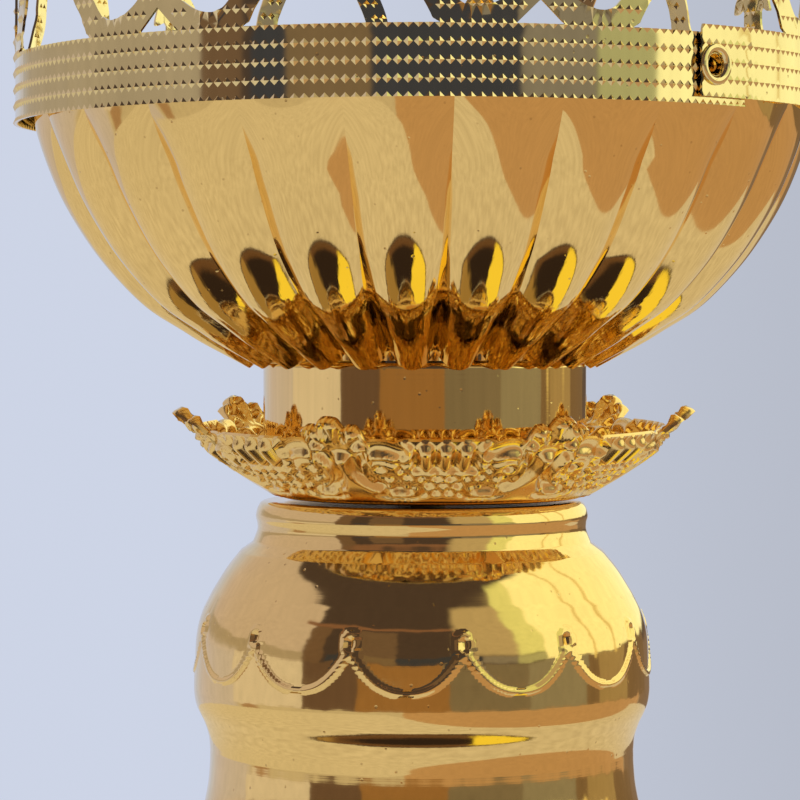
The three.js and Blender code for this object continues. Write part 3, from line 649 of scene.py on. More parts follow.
def near_path(across, down, path):
    """Distance from each place to a path of points, and the share of the path that is nearest."""
    best = np.full(across.shape, 1e9)
    share = np.zeros(across.shape)
    for index, (start, end) in enumerate(zip(path, path[1:])):
        step = end - start
        reach = ((across - start[0]) * step[0] + (down - start[1]) * step[1]) / (step @ step)
        reach = np.clip(reach, 0, 1)
        gap = np.hypot(across - start[0] - reach * step[0], down - start[1] - reach * step[1])
        share = np.where(gap < best, (index + reach) / (len(path) - 1), share)
        best = np.minimum(best, gap)
    return best, share


def rounded_ridge(gap, half_width):
    """Height share of a round-backed ridge at a gap from its middle line."""
    return np.sqrt(np.clip(1 - (gap / half_width)**2, 0, 1))


def tray_relief(across, down, half_unit):
    """Height share of the stamped scrolls, fan, beads and palmette of one unit of the tray."""
    side = np.abs(across)
    scroll = through([(8.4, 1.5), (6.4, 0.7), (4.1, 0.9), (2.3, 2.3), (1.5, 4.6), (1.75, 7.2), (3.4, 9.6),
                      (6.2, 10.8), (9.0, 10.7)], 6)
    gap, share = near_path(side, down, scroll)
    ridge = rounded_ridge(gap, 1.35 - 0.65 * share)
    ridge = np.maximum(ridge, 0.4 * rounded_ridge(gap - 2.0, 0.4) * (side > 2.6))
    from_middle = half_unit - side
    in_fan = smooth_step(side, 7.6, 8.3) * (1 - smooth_step(down, 4.9, 5.7))
    flute_pitch = 2.66
    place = (from_middle / flute_pitch + 0.5) % 1 - 0.5
    drop = down - np.clip(down, 1.4, 4.2)
    hollow = rounded_ridge(np.hypot(place * flute_pitch, drop), 1.05) * (from_middle < 6.6)
    fan = in_fan * (0.85 - 0.85 * hollow)
    beads = np.zeros(across.shape)
    bead_rows = ((6.7, 2.2, 0.95), (8.8, 2.45, 1.1), (11.1, 2.2, 0.95))
    for row, (depth, pitch, half_width) in enumerate(bead_rows):
        index = from_middle / pitch + 0.5 * row
        place = index % 1 - 0.5
        shift = 0.28 * np.sin(np.floor(index) * 2.4 + row)
        gap = np.hypot(place * pitch, down - depth - shift)
        beads = np.maximum(beads, 0.65 * half_width * rounded_ridge(gap, half_width))
    for centre in ((5.3, 4.3), (6.5, 6.1), (5.2, 7.1), (7.4, 7.8)):
        gap = np.hypot(side - centre[0], down - centre[1])
        beads = np.maximum(beads, 0.6 * rounded_ridge(gap, 0.85))
    beads *= 1 - smooth_step(np.maximum(ridge, fan), 0.05, 0.3)
    beads *= smooth_step(side, 3.0, 3.8)
    leaf = palmette_relief(across, down)
    return np.maximum(np.maximum(ridge * (leaf < 0.01), fan), np.maximum(beads, leaf))


PALMETTE_HEART = 2.3
PALMETTE_STEP = 34.0
PALMETTE_REACH = (6.6, 5.9, 4.9)


def palmette_outline(turn):
    """Reach of the palmette's edge from its heart, by the angle from its middle petal in degrees."""
    petal = np.clip(np.round(np.abs(turn) / PALMETTE_STEP), 0, 2).astype(int)
    off = (np.abs(turn) - petal * PALMETTE_STEP) / (PALMETTE_STEP / 2)
    return np.array(PALMETTE_REACH)[petal] * (1 - 0.2 * np.clip(np.abs(off), 0, 1.2)**2.2), off


def palmette_relief(across, down):
    """Height share of the palmette: hollow petals between raised veins and a raised edge."""
    reach = np.hypot(across, PALMETTE_HEART - down)
    turn = np.degrees(np.arctan2(across, PALMETTE_HEART - down))
    edge, off = palmette_outline(turn)
    inside_edge = (reach < edge) & (np.abs(turn) < 98)
    vein_gap = (1 - np.abs(off)) * np.radians(PALMETTE_STEP / 2) * reach
    vein = rounded_ridge(np.clip(vein_gap, 0, None), 0.6)
    rim = rounded_ridge(np.abs(edge - 0.4 - reach), 0.55)
    heart = rounded_ridge(reach, 1.0)
    return np.where(inside_edge, 0.2 + 0.8 * np.maximum(np.maximum(vein, rim), heart), 0)


def bud_rise(across):
    """How far the tray's edge stands above its rim, by the distance across from a palmette's middle."""
    turn = np.linspace(-95, 95, 761)
    reach, _ = palmette_outline(turn)
    x = reach * np.sin(np.radians(turn))
    rise = reach * np.cos(np.radians(turn)) - PALMETTE_HEART
    near = np.abs(across[:, None] - x[None, :]) < 0.16
    return np.clip(np.where(near, rise[None, :], 0).max(axis=1), 0, None)


class LAMP_OT_tray(bpy.types.Operator):
    """Make the stamped leaf tray"""

    bl_idname = "lamp.tray"
    bl_label = "Leaf tray"

    def execute(self, context):
        size = sizes()
        floor = low("leaf_tray")
        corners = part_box("leaf_tray")
        offset = (corners[0].x + corners[1].x) / 2 / MM - 0.18
        rim_radius, hole_radius = 32.3, 4.8
        thickness = 0.7 * size["sheet"]
        half_unit = math.pi * rim_radius / size["tray_units"]
        wall = through([
            (rim_radius + 3.7, floor + 12.9), (rim_radius, floor + 9.3), (31.1, floor + 8.1),
            (29.4, floor + 6.7), (27.4, floor + 5.3), (25.3, floor + 3.9), (22.9, floor + 2.4),
            (20.9, floor + 1.2), (19.4, floor + 0.4), (17.2, floor),
        ], 12)
        run = np.concatenate([[0], np.cumsum(np.linalg.norm(np.diff(wall, axis=0), axis=1))])
        rim_run = run[12]
        end_run = run[-1]
        normals = -left_normals(wall)
        columns = 96 * size["tray_units"]
        first = math.radians(size["tray_turn"])
        turn = first + np.arange(columns) * 2 * math.pi / columns
        unit = 2 * math.pi / size["tray_units"]
        across = (((turn - first) / unit + 0.5) % 1 - 0.5) * unit * rim_radius
        start = rim_run - bud_rise(across)
        stamped = rim_run + 15.2
        share = np.linspace(0, 1, 58)[:, None]
        plain = np.linspace(stamped + 1, end_run, 5)[:, None]
        along = np.concatenate([start * (1 - share) + stamped * share, np.repeat(plain, columns, axis=1)])
        down = along - rim_run
        relief = size["tray_relief"] * tray_relief(np.tile(across, (len(along), 1)), down, half_unit)
        relief = (np.roll(relief, 1, axis=1) + 2 * relief + np.roll(relief, -1, axis=1)) / 4
        relief[1:-1] = (relief[:-2] + 2 * relief[1:-1] + relief[2:]) / 4
        rope = np.abs(np.sin(math.pi * turn / math.radians(2.02)))
        relief += 0.35 * rope * rounded_ridge(down - 14.1, 0.65)
        inset = 0.5 * smooth_step(down, -3, 1)

        def skin(depth):
            """The tray's face at a depth below its stamped one, down to the edge of its hole."""
            lift = relief - inset - depth
            reach = np.interp(along, run, wall[:, 0]) + np.interp(along, run, normals[:, 0]) * lift
            height = np.interp(along, run, wall[:, 1]) + np.interp(along, run, normals[:, 1]) * lift
            height -= 0.026 * reach * np.cos(turn) * smooth_step(reach, 18, 30)
            height = np.maximum(height, floor + depth)
            reach = np.vstack([reach, np.full(columns, hole_radius)])
            height = np.vstack([height, np.full(columns, floor + depth)])
            return np.stack([reach * np.sin(turn) + offset, -reach * np.cos(turn), height], axis=-1)

        points = np.concatenate([skin(0.0), skin(thickness)[::-1]])
        tray = make_object("leaf_tray_stamped", points.reshape(-1, 3), grid_faces(len(points), columns), 60)
        dress(tray, "lamp", "gilt", "gilt_stamped", "leaf_tray")
        return {"FINISHED"}


class LAMP_OT_vase(bpy.types.Operator):
    """Make the vase with its swags"""

    bl_idname = "lamp.vase"
    bl_label = "Vase"

    def execute(self, context):
        size = sizes()
        foot = high("vase_shell") - 54.9
        hem = radius("vase_shell")
        skirt = through([(hem, 0.1), (hem - 0.4, 2), (31.6, 6.8), (29.9, 12.4), (29.05, 16.2),
                         (28.75, 19.2), (28.7, 21.4)], 7)
        bulge = through([(28.7, 21.4), (28.85, 23.0), (29.15, 24.2), (29.6, 25.4), (30.15, 26.5),
                         (30.6, 27.6), (30.82, 28.9), (30.86, 30.2), (30.75, 33), (30.5, 36.8),
                         (29.75, 39.8), (28.4, 42.6)], 60)
        spans = ((21.4, 30.4, 30), (30.6, 40.8, 48), (41.2, 42.6, 4))
        levels = np.concatenate([np.linspace(*span) for span in spans])
        bulge = np.stack([np.interp(levels, bulge[:, 1], bulge[:, 0]), levels], axis=1)
        shoulder = through([(28.4, 42.6), (26.4, 45.8), (24.5, 48.2)], 7)
        neck = through([(22.9, 49.3), (22.3, 50.9), (22.3, 51.9), (22.48, 52.9), (22.1, 54.2),
                        (21.3, 54.85), (19, 54.9)], 5)
        outline = np.vstack([skirt[:-1], bulge, shoulder[1:], neck, [(4, 54.9)]])

        def swagged(reach, height, turn):
            """Raises a thin cord along each swag, with a sunk panel above it and a loop at its ends."""
            belly, drop, bend = 30.8, 5.4, 2.4
            pitch = 2 * math.pi / size["swags"]
            share = ((turn - math.radians(size["swag_turn"])) / pitch) % 1
            width = pitch * belly
            joint = np.minimum(share, 1 - share) * width
            level = height - foot
            spread = np.abs(2 * share - 1)
            line = 32.0 + drop * spread**bend
            slope = drop * bend * spread**(bend - 1) * 2 / width
            gap = (level - line) / np.sqrt(1 + slope**2)
            cord = np.where(gap > 0, rounded_ridge(gap, 0.5), rounded_ridge(gap, 0.3))
            sunk = -0.6 * np.exp(-np.clip(gap, 0, None) / 1.5) * smooth_step(gap, 0.3, 0.6)
            loop_gap = np.hypot(joint, (level - 38.3) * 0.6)
            loop = rounded_ridge(loop_gap - 0.8, 0.35) * (level < 40.6)
            pit = -1.6 * np.clip(1 - (loop_gap / 0.75)**2, 0, 1)**1.5
            skin = (reach > 27) & (level > 27) & (level < 43)
            lift = np.where(loop_gap < 1.1, np.maximum(loop, 0) + pit, np.maximum(cord, 0) + sunk)
            return reach + size["swag_rise"] * np.where(skin, lift, 0), height

        section = sheet_section(outline + np.array([0, foot]), size["sheet"], 4)
        vase = turned("swagged_vase", section, round_angles(size["swags"] * 32), swagged)
        dress(vase, "lamp", "gilt", "gilt_spun", "vase_shell")
        return {"FINISHED"}


class LAMP_OT_stem(bpy.types.Operator):
    """Make the turned rings and the lower knop"""

    bl_idname = "lamp.stem"
    bl_label = "Rings and knop"

    def execute(self, context):
        for node in ("lower_ring", "upper_ring"):
            self.ring(node)
        bottom, top = low("lower_knop"), high("lower_knop")
        height = top - bottom
        across = radius("lower_knop")
        side = through([
            (15.6, bottom), (16.4, bottom + 2), (20.6, bottom + 4.4),
            (across - 2.3, bottom + height * 0.27), (across, bottom + height * 0.5),
            (across - 2.3, bottom + height * 0.73), (20.6, top - 4.4), (16.4, top - 2), (15.3, top - 0.5),
        ], 8)
        outer = np.vstack([side, [(14.6, top), (4, top)]])
        knop = turned("lower_knop_spun", sheet_section(outer, sizes()["sheet"]))
        dress(knop, "lamp", "gilt", "gilt_spun", "lower_knop")
        return {"FINISHED"}

    def ring(self, node):
        """A turned ring: a half-round edge between two small fillets."""
        bottom, top = low(node), high(node)
        middle = (bottom + top) / 2
        half = middle - bottom
        turns = np.radians(np.linspace(-62, 62, 15))
        edge = np.stack([16.2 + 3.8 * np.cos(turns), middle + half * 0.95 * np.sin(turns)], axis=1)
        outline = np.vstack([[(4, bottom), (16.6, bottom), (16.9, bottom + 0.35)], edge,
                             [(16.9, top - 0.35), (16.6, top), (4, top)]])
        dress(turned(node + "_turned", outline), "lamp", "gilt", "gilt_spun", node)


class LAMP_OT_foot(bpy.types.Operator):
    """Make the gadrooned bell foot, its felt and its plate"""

    bl_idname = "lamp.foot"
    bl_label = "Bell foot"

    def execute(self, context):
        size = sizes()
        bottom, top = low("foot_bell"), high("foot_bell")
        rim = radius("foot_bell")
        step = bottom + 2.8
        dome = step + 3
        rim_outline = softened([
            (rim - 0.15, bottom), (rim, step - 0.7), (rim - 0.7, step), (rim - 6.8, step),
            (rim - 7.2, step + 0.6), (rim - 8.6, step + 1.2), (rim - 9.4, dome),
        ], 0.5)
        side = through([
            (rim - 9.5, dome), (rim - 10.6, dome + 7), (rim - 14, dome + 12.5), (rim - 20, dome + 18),
            (26.5, dome + 23.4), (20.8, dome + 31), (17.6, dome + 42), (16.5, top - 3),
        ], 9)
        outer = np.vstack([rim_outline, side[1:], [(16, top - 0.8), (15.2, top), (4, top)]])

        def lobed(reach, height, turn):
            """Sinks the dome between its lobes, which fade out towards the neck."""
            groove = 1 - np.abs(np.sin(size["lobes"] / 2 * turn))
            rise = smooth_step(height, dome - 1, dome + 3)
            fade = 1 - smooth_step(height, dome + 17, dome + 30)
            return reach - 2.2 * rise * fade * groove, height

        angles = round_angles(size["lobes"], 0.0)
        bell = turned("gadrooned_foot", sheet_section(outer, size["sheet"]), angles, lobed)
        dress(bell, "lamp", "gilt", "gilt_spun", "foot_bell")
        self.felt()
        coat(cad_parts["foot_plate"], "steel_plated")
        coat(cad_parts["ballast_ring"], "iron_cast")
        return {"FINISHED"}

    def felt(self):
        """A felt disc with a soft cut edge."""
        across, top = radius("base_felt"), high("base_felt")
        outline = [(0, 0), (across - 0.3, 0), (across, 0.3),
                   (across, top - 0.4), (across - 0.4, top), (0, top)]
        felt = turned("felt_pad", softened(outline, 0.2, 2), round_angles(96))
        dress(felt, "lamp", "felt", "felt_pressed", "base_felt")


# Crown: one pierced strip drawn flat, embossed and rolled up


FIRST_UNIT = 30.6
STRIP_TURN = 369
SKY = 32.8


def crown_arm(half_unit):
    """Middle line of the arm on the right of a unit, from its neck to its apex."""
    return through([(10.55, -1), (12.8, 3.4), (15.1, 6.5), (16.1, 11), (half_unit - 6.2, 15.8),
                    (half_unit - 3, 20.4), (half_unit, 24)], 6)


def arm_edge(half_unit, side):
    """One edge of the arm, a half width off its middle line."""
    path = crown_arm(half_unit)
    return path + left_normals(path) * side * 1.65


def finial_half():
    """Right half of the trefoil on an apex, from its foot up to its tip."""
    turns = np.radians(np.linspace(-110, 75, 9))
    side = [(2.6 + 1.0 * math.cos(t), 28.3 + 1.5 * math.sin(t)) for t in turns]
    turns = np.radians(np.linspace(-30, 78, 6))
    tip = [(1.6 * math.cos(t), 31.2 + 1.6 * math.sin(t)) for t in turns]
    return np.array([(1.1, 25.7), (1.1, 26.6), *side, *tip])


def stem_half():
    """Right half of the barbed stem between two arms, from the window's foot up to its tip."""
    root = through([(10.6, 3.3), (9.6, 2.35), (8.2, 1.9), (6.6, 2.1), (5.0, 2.75), (3.1, 4.2), (2.1, 6.4),
                    (1.95, 8.4)], 5)
    head = through([(2.3, 8.9), (4.1, 8.3), (4.05, 9.6), (3.2, 11.5), (1.9, 13.5), (0.7, 15.8),
                    (0.0, 17)], 4)
    return np.vstack([root, head])


def mirrored(path):
    """The same path on the left, run the other way."""
    return (path * np.array([-1, 1]))[::-1]


def crown_outlines(size):
    """The strip's outline and its holes, for its units and one more at each end."""
    unit_angle, around = size["unit_angle"], size["crown_radius"]
    half = math.radians(unit_angle) * around / 2
    centres = [math.radians(FIRST_UNIT + k * unit_angle) * around for k in range(-1, 8)]
    circle = np.radians(np.arange(24) * 15)
    punched = np.stack([1.37 * np.cos(circle), 1.37 * np.sin(circle)], axis=1)
    inner = arm_edge(half, 1)
    inner = inner[(inner[:, 1] > 4.6) & (inner[:, 0] < half - 1.2)]
    finial = finial_half() * np.array([-1, 1]) + np.array([half, 0])
    right = np.vstack([stem_half()[::-1], inner, finial])
    sky = np.vstack([mirrored(right), right[1:]])
    outer = arm_edge(half, -1)
    outer = outer[(outer[:, 1] > 0.3) & (outer[:, 0] < half - 0.5)] - np.array([half, 0])
    apex = np.array([[-0.4, 21.75], [0.4, 21.75]])
    gap_left = np.vstack([[(12.2 - half, 0)], outer])
    gap = np.vstack([gap_left, apex, mirrored(gap_left)])
    neck = np.array([(-3.05, 0.0), (3.05, 0.0), (0.0, 2.9)])
    start, end = centres[0] - half, centres[-1] + half
    top = [[(start, SKY)]]
    for centre in centres:
        top += [sky + np.array([centre, 0]), [(centre + half, SKY)]]
    band = -size["band_height"]
    outline = np.vstack([[(end, band)], [(start, band)], *top])
    holes = [gap + np.array([c + half, 0]) for c in centres[:-1]]
    holes += [neck + np.array([c, 0]) for c in centres]
    holes += [punched + np.array([math.radians(turn) * around, y]) for turn, y in ((2.4, -4.8), (362.4, -3.9))]
    return outline, holes


def inside(points, outline):
    """Whether each point lies inside a closed outline."""
    x, y = points[:, 0], points[:, 1]
    found = np.zeros(len(points), bool)
    for (ax, ay), (bx, by) in zip(outline, np.roll(outline, -1, axis=0)):
        if ay != by:
            crosses = ((ay > y) != (by > y)) & (x < (bx - ax) * (y - ay) / (by - ay) + ax)
            found ^= crosses
    return found


def within(points, outline, holes):
    """Whether each point lies inside an outline and outside all of its holes."""
    found = inside(points, outline)
    for hole in holes:
        found &= ~inside(points, hole)
    return found


def stud_height(points, size):
    """How far the embossed studs raise the strip at each point."""
    column = points[:, 0] / size["stud_pitch"]
    row = (points[:, 1] + size["band_height"]) / size["stud_row"]
    across = np.abs(column - np.round(column)) * size["stud_pitch"] / (size["stud_width"] / 2)
    up = np.abs(row - np.round(row)) * size["stud_row"] / (size["stud_height"] / 2)
    return size["stud_rise"] * np.clip(1 - across - up, 0, 1)


def edge_points(start, end, size):
    """Points along a straight edge at a row of studs, with one at each corner and middle of a stud."""
    low_x, high_x = sorted((start, end))
    pitch, half = size["stud_pitch"], size["stud_width"] / 2
    middles = np.arange(math.ceil(low_x / pitch), high_x / pitch) * pitch
    places = np.unique(np.round(np.concatenate([middles - half, middles, middles + half]), 5))
    places = places[(places > low_x + 0.05) & (places < high_x - 0.05)]
    return places if end > start else places[::-1]


def with_edge_points(outline, heights, size):
    """The same outline with stud points added on its level edges at the given heights."""
    made = []
    for start, end in zip(outline, np.roll(outline, -1, axis=0)):
        made.append(start)
        if start[1] == end[1] and min(abs(start[1] - h) for h in heights) < 1e-6:
            made.extend((x, start[1]) for x in edge_points(start[0], end[0], size))
    return np.array(made)


def half_studs(loop, size):
    """Inner corners of the studs that a level edge cuts in half, each with its middle on the edge."""
    found = []
    for x, y in loop:
        column = x / size["stud_pitch"]
        if abs(column - round(column)) < 0.01 and min(abs(y + size["band_height"]), abs(y)) < 1e-6:
            inward = size["stud_height"] / 2 * (1 if y < -1 else -1)
            found.append(((x, y), (x, y + inward)))
    return found


def crown_sheet(size, strip_length):
    """Points and triangles of the strip's flat face, with the studs' corners in it."""
    outline, holes = crown_outlines(size)
    level = [-size["band_height"], 0.0]
    loops = [with_edge_points(loop, level, size) for loop in [outline, *holes]]
    columns = np.arange(-3, int(strip_length / size["stud_pitch"]) + 4) * size["stud_pitch"]
    rows = np.arange(0, 20) * size["stud_row"] - size["band_height"]
    centre = np.stack(np.meshgrid(columns, rows), axis=-1).reshape(-1, 2)
    half_w, half_h = size["stud_width"] / 2, size["stud_height"] / 2
    corners = [centre + np.array(c) for c in ((half_w, 0), (0, half_h), (-half_w, 0), (0, -half_h))]
    whole = np.ones(len(centre), bool)
    for corner in [centre, *corners]:
        whole &= within(corner + (corner - centre) * 0.12, outline, holes)
    fixed, edges = [], []
    for loop in loops:
        first, count = len(fixed), len(loop)
        fixed.extend(loop.tolist())
        edges.extend((first + k, first + (k + 1) % count) for k in range(count))
        for middle, corner in half_studs(loop, size):
            index = first + int(np.argmin(np.hypot(*(loop - middle).T)))
            fixed.append(corner)
            for near in (index - 1, index, index + 1):
                edges.append((min(max(near, first), first + count - 1), len(fixed) - 1))
    for index in np.nonzero(whole)[0]:
        first = len(fixed)
        fixed.append(centre[index].tolist())
        fixed.extend(corner[index].tolist() for corner in corners)
        edges.extend((first, first + k) for k in (1, 2, 3, 4))
        edges.extend((first + k, first + k % 4 + 1) for k in (1, 2, 3, 4))
    points, _, triangles, *_ = delaunay_2d_cdt([Vector(p) for p in fixed], edges, [], 0, 1e-5, False)
    points = np.array([tuple(p) for p in points])
    middles = points[np.array(triangles)].mean(axis=1)
    return points, [t for t, keep in zip(triangles, within(middles, outline, holes)) if keep]


class LAMP_OT_crown(bpy.types.Operator):
    """Make the pierced crown strip and its eyelet"""

    bl_idname = "lamp.crown"
    bl_label = "Crown"

    def execute(self, context):
        size = sizes()
        strip_length = math.radians(STRIP_TURN) * size["crown_radius"]
        flat = self.flat_sheet(size, strip_length)
        points, faces = self.thickened(flat, size)
        crown = make_object("crown_strip", self.rolled(points, size), faces, 25)
        dress(crown, "crown", "gilt", "gilt_strip", "crown_gallery")
        self.tongues(size)
        self.eyelet(size)
        return {"FINISHED"}

    def flat_sheet(self, size, strip_length):
        """The flat face as a bmesh, cut to the strip's length."""
        points, triangles = crown_sheet(size, strip_length)
        work = bmesh.new()
        verts = [work.verts.new((x, y, 0)) for x, y in points]
        for triangle in triangles:
            work.faces.new([verts[i] for i in triangle])
        for place, side in ((0, -1), (strip_length, 1)):
            geometry = work.verts[:] + work.edges[:] + work.faces[:]
            bmesh.ops.bisect_plane(work, geom=geometry, dist=1e-5, plane_co=(place, 0, 0),
                                   plane_no=(side, 0, 0), clear_outer=True)
        bmesh.ops.triangulate(work, faces=[f for f in work.faces if len(f.verts) > 3])
        return work

    def thickened(self, work, size):
        """Points and faces of the strip with its studs raised and its edges closed."""
        work.verts.ensure_lookup_table()
        work.verts.index_update()
        flat = np.array([v.co[:2] for v in work.verts])
        raised = stud_height(flat, size)
        count = len(flat)
        front = np.column_stack([flat, raised])
        back = np.column_stack([flat, raised * 0.9 - size["crown_strip"]])
        faces = []
        for face in work.faces:
            ring = [v.index for v in face.verts]
            ring = ring if face.normal.z > 0 else ring[::-1]
            faces.append(ring)
            faces.append([count + i for i in reversed(ring)])
        for edge in work.edges:
            if edge.is_boundary:
                loop = edge.link_loops[0]
                a, b = loop.vert.index, loop.link_loop_next.vert.index
                if edge.link_faces[0].normal.z < 0:
                    a, b = b, a
                faces.append([b, a, count + a, count + b])
        work.free()
        return np.vstack([front, back]), faces

    def rolled(self, points, size):
        """Rolls the flat strip up into the crown, its outer end a little lifted off the lap."""
        around = points[:, 0] / size["crown_radius"]
        share = around / (2 * math.pi)
        lift = 0.12 * np.exp(-np.degrees(around) / 1.5)
        imprint = 0.10 * np.exp(-((np.degrees(around) - 9.3) / 0.55)**2)
        imprint *= (points[:, 1] < 0.5) * (1 + 0.8 * np.sin(points[:, 1] * 3.1))
        reach = size["crown_radius"] - 0.7 * share + points[:, 2] + lift + imprint
        dip = 0.5 * np.sin(np.clip((np.degrees(around) - 90) / 235, 0, 1) * math.pi)
        height = self.band_top() + 0.9 * (1 - share) - dip + points[:, 1]
        turn = around + math.radians(size["lap_start"])
        return np.column_stack([reach * np.sin(turn), -reach * np.cos(turn), height])

    def band_top(self):
        """Height of the band's upper edge at the strip's inner end."""
        return high("bowl_shell") + 0.7

    def tongues(self, size):
        """The tongues bent in at the foot of each long gap, which rest on the bowl's rim."""
        for index in range(7):
            middle = math.radians(FIRST_UNIT + (index + 0.5) * size["unit_angle"])
            half_width, behind_face = 3.0, 0.38
            spread = half_width / size["crown_radius"]
            points, faces = [], []
            columns = np.linspace(-1, 1, 7)
            path = [(0.0, -0.15), (-0.5, -0.02), (-1.2, 0.0), (-4.2, 0.0), (-4.2, -0.34), (-1.2, -0.34),
                    (-0.35, -0.5), (0.0, -0.6)]
            for column in columns:
                for depth, rise in path:
                    narrow = 1 - 0.25 * smooth_step(-depth, 3.2, 4.2)
                    along = size["crown_radius"] * (middle + column * spread * narrow)
                    points.append((along, rise, depth - behind_face))
            count = len(path)
            for column in range(len(columns) - 1):
                for row in range(count):
                    a, b = column * count + row, column * count + (row + 1) % count
                    faces.append([a, b, b + count, a + count])
            faces += [list(range(count)), list(range(len(points) - count, len(points)))[::-1]]
            tongue = make_object(f"crown_tongue_{index + 1}", self.rolled(np.array(points), size), faces)
            dress(tongue, "crown", "gilt", "gilt_strip")

    def eyelet(self, size):
        """The tubular eyelet: a rolled flange outside, a barrel and a spread flange inside."""
        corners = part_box("crown_eyelet")
        middle = (corners[0] + corners[1]) / 2 / MM
        turn = math.atan2(middle.x, -middle.y)
        reach = math.hypot(middle.x, middle.y)
        out = [(1.3, -0.95), (1.6, -1.05), (2.4, -1.0), (2.42, -0.82), (1.36, -0.7), (1.36, 0.45),
               (2.1, 0.5), (2.5, 0.6), (2.56, 0.8), (2.4, 1.0), (2.05, 1.1), (1.7, 1.0), (1.45, 0.7),
               (1.3, 0.3)]
        section = softened([*out, out[0]], 0.08, 3)[:-1]
        angles = round_angles(40)
        spin, across = np.meshgrid(angles, section[:, 0])
        depth = np.repeat(section[:, 1][:, None], len(angles), axis=1)
        side, up, forward = across * np.sin(spin), across * np.cos(spin), reach + depth
        points = np.stack([forward * math.sin(turn) + side * math.cos(turn),
                           -forward * math.cos(turn) + side * math.sin(turn), middle.z + up], axis=-1)
        faces = grid_faces(len(section), len(angles))
        eyelet = make_object("crown_eyelet_rolled", points.reshape(-1, 3), faces)
        dress(eyelet, "crown", "gilt", "gilt_strip", "crown_eyelet")


class LAMP_OT_glass(bpy.types.Operator):
    """Make the oil glass and the rest that it stands in"""

    bl_idname = "lamp.glass"
    bl_label = "Oil glass"

    def execute(self, context):
        base, rim = low("glass_cup"), high("glass_cup")
        mouth = radius("glass_cup")
        foot = 26
        middle = (foot + mouth) / 2 + 0.6
        under = [(0, base + 0.4), (16, base + 0.4), (19, base), (foot - 0.9, base), (foot - 0.2, base + 0.4)]
        outer = through([(foot, base + 1.2), (foot + 1.9, base + 8), (middle, base + 17),
                         (mouth, rim - 1)], 8)
        lip = [(mouth - 0.35, rim - 0.25), (mouth - 1.1, rim), (mouth - 1.85, rim - 0.25)]
        inner = through([(mouth - 2.2, rim - 1), (middle - 2.2, base + 17), (foot - 0.6, base + 8.5),
                         (foot - 2.6, base + 4.3)], 8)
        floor = [(foot - 4.2, base + 3.6), (0, base + 3.5)]
        section = np.vstack([under, outer, lip, inner, floor])
        glass = turned("oil_glass", section, round_angles(128))
        dress(glass, "glass", "clear_glass", "glass_clear", "glass_cup")
        self.rest()
        return {"FINISHED"}

    def rest(self):
        """The pressed rest: a well, a ledge and an upturned lip."""
        bottom, top = low("glass_rest"), high("glass_rest")
        across = radius("glass_rest")
        ledge = top - 4.3
        outline = softened([(4, bottom), (12, bottom), (13.2, ledge), (across - 1.1, ledge),
                            (across - 0.5, ledge + 0.8), (across - 0.05, top)], 0.7)
        section = sheet_section(outline, sizes()["sheet"])
        dress(turned("rest_pressed", section), "lamp", "steel", "steel_plated", "glass_rest")


class LAMP_OT_float(bpy.types.Operator):
    """Make the float, its wick tube and the wick"""

    bl_idname = "lamp.float"
    bl_label = "Float and wick"

    def execute(self, context):
        angles = round_angles(96)
        bottom, top, across = low("float_cork"), high("float_cork"), radius("float_cork")
        cork = softened([(4, bottom), (across, bottom), (across, top), (4, top), (4, bottom + 0.01)], 0.5)
        dress(turned("float_cork_cut", cork, angles), "float", "cork", "cork_cut", "float_cork")
        base, lid, across = low("float_plate"), high("float_plate"), radius("float_plate")
        plate = softened([(2.2, base), (across, base), (across, lid), (2.2, lid), (2.2, base + 0.01)], 0.15)

        def waved(reach, height, turn):
            """Cuts the plate's edge into petals."""
            notch = 0.7 * (1 - np.abs(np.cos(6 * turn)))
            return reach - notch * smooth_step(reach, across - 1.5, across), height

        made = turned("float_plate_cut", plate, angles, waved)
        dress(made, "float", "brass", "brass_plain", "float_plate")
        self.tube(angles)
        self.wick()
        return {"FINISHED"}

    def tube(self, angles):
        """The flanged tube that holds the wick."""
        foot, top = low("wick_tube"), high("wick_tube")
        flange = top - 5
        outline = [(1.3, foot), (1.9, foot), (1.9, flange), (3.4, flange), (3.4, flange + 0.6),
                   (1.9, flange + 0.6), (1.9, top - 0.2), (1.75, top), (1.45, top), (1.3, top - 0.2),
                   (1.3, foot + 0.01)]
        made = turned("wick_tube_drawn", softened(outline, 0.12), angles)
        dress(made, "float", "brass", "brass_plain", "wick_tube")

    def wick(self):
        """Three strands laid together, from a node tree that winds one strand and repeats it."""
        bottom, top = low("wick"), high("wick")
        tree = wick_tree()
        carrier = placed("wick_plaited", bpy.data.meshes.new("wick_plaited"))
        modifier = carrier.modifiers.new("Strands", "NODES")
        modifier.node_group = tree
        given = {"Strands": 3, "Strand radius": 0.47 * MM, "Lay radius": 0.5 * MM, "Bottom": bottom * MM,
                 "Length": (top - bottom) * MM, "Turns": 3.0, "Material": finish("cotton_plaited")}
        for item in tree.interface.items_tree:
            if item.in_out == "INPUT" and item.name in given:
                modifier[item.identifier] = given[item.name]
        apply_tree(carrier)
        dress(carrier, "wick", "cotton", "cotton_plaited", "wick")


def apply_tree(carrier):
    """Turns the result of a piece's node tree into its plain mesh and drops the modifier."""
    bpy.context.view_layer.update()
    shown = carrier.evaluated_get(bpy.context.evaluated_depsgraph_get())
    made = bpy.data.meshes.new_from_object(shown)
    carrier.modifiers.clear()
    carrier.data = made
    clean(made)
    made.shade_smooth()


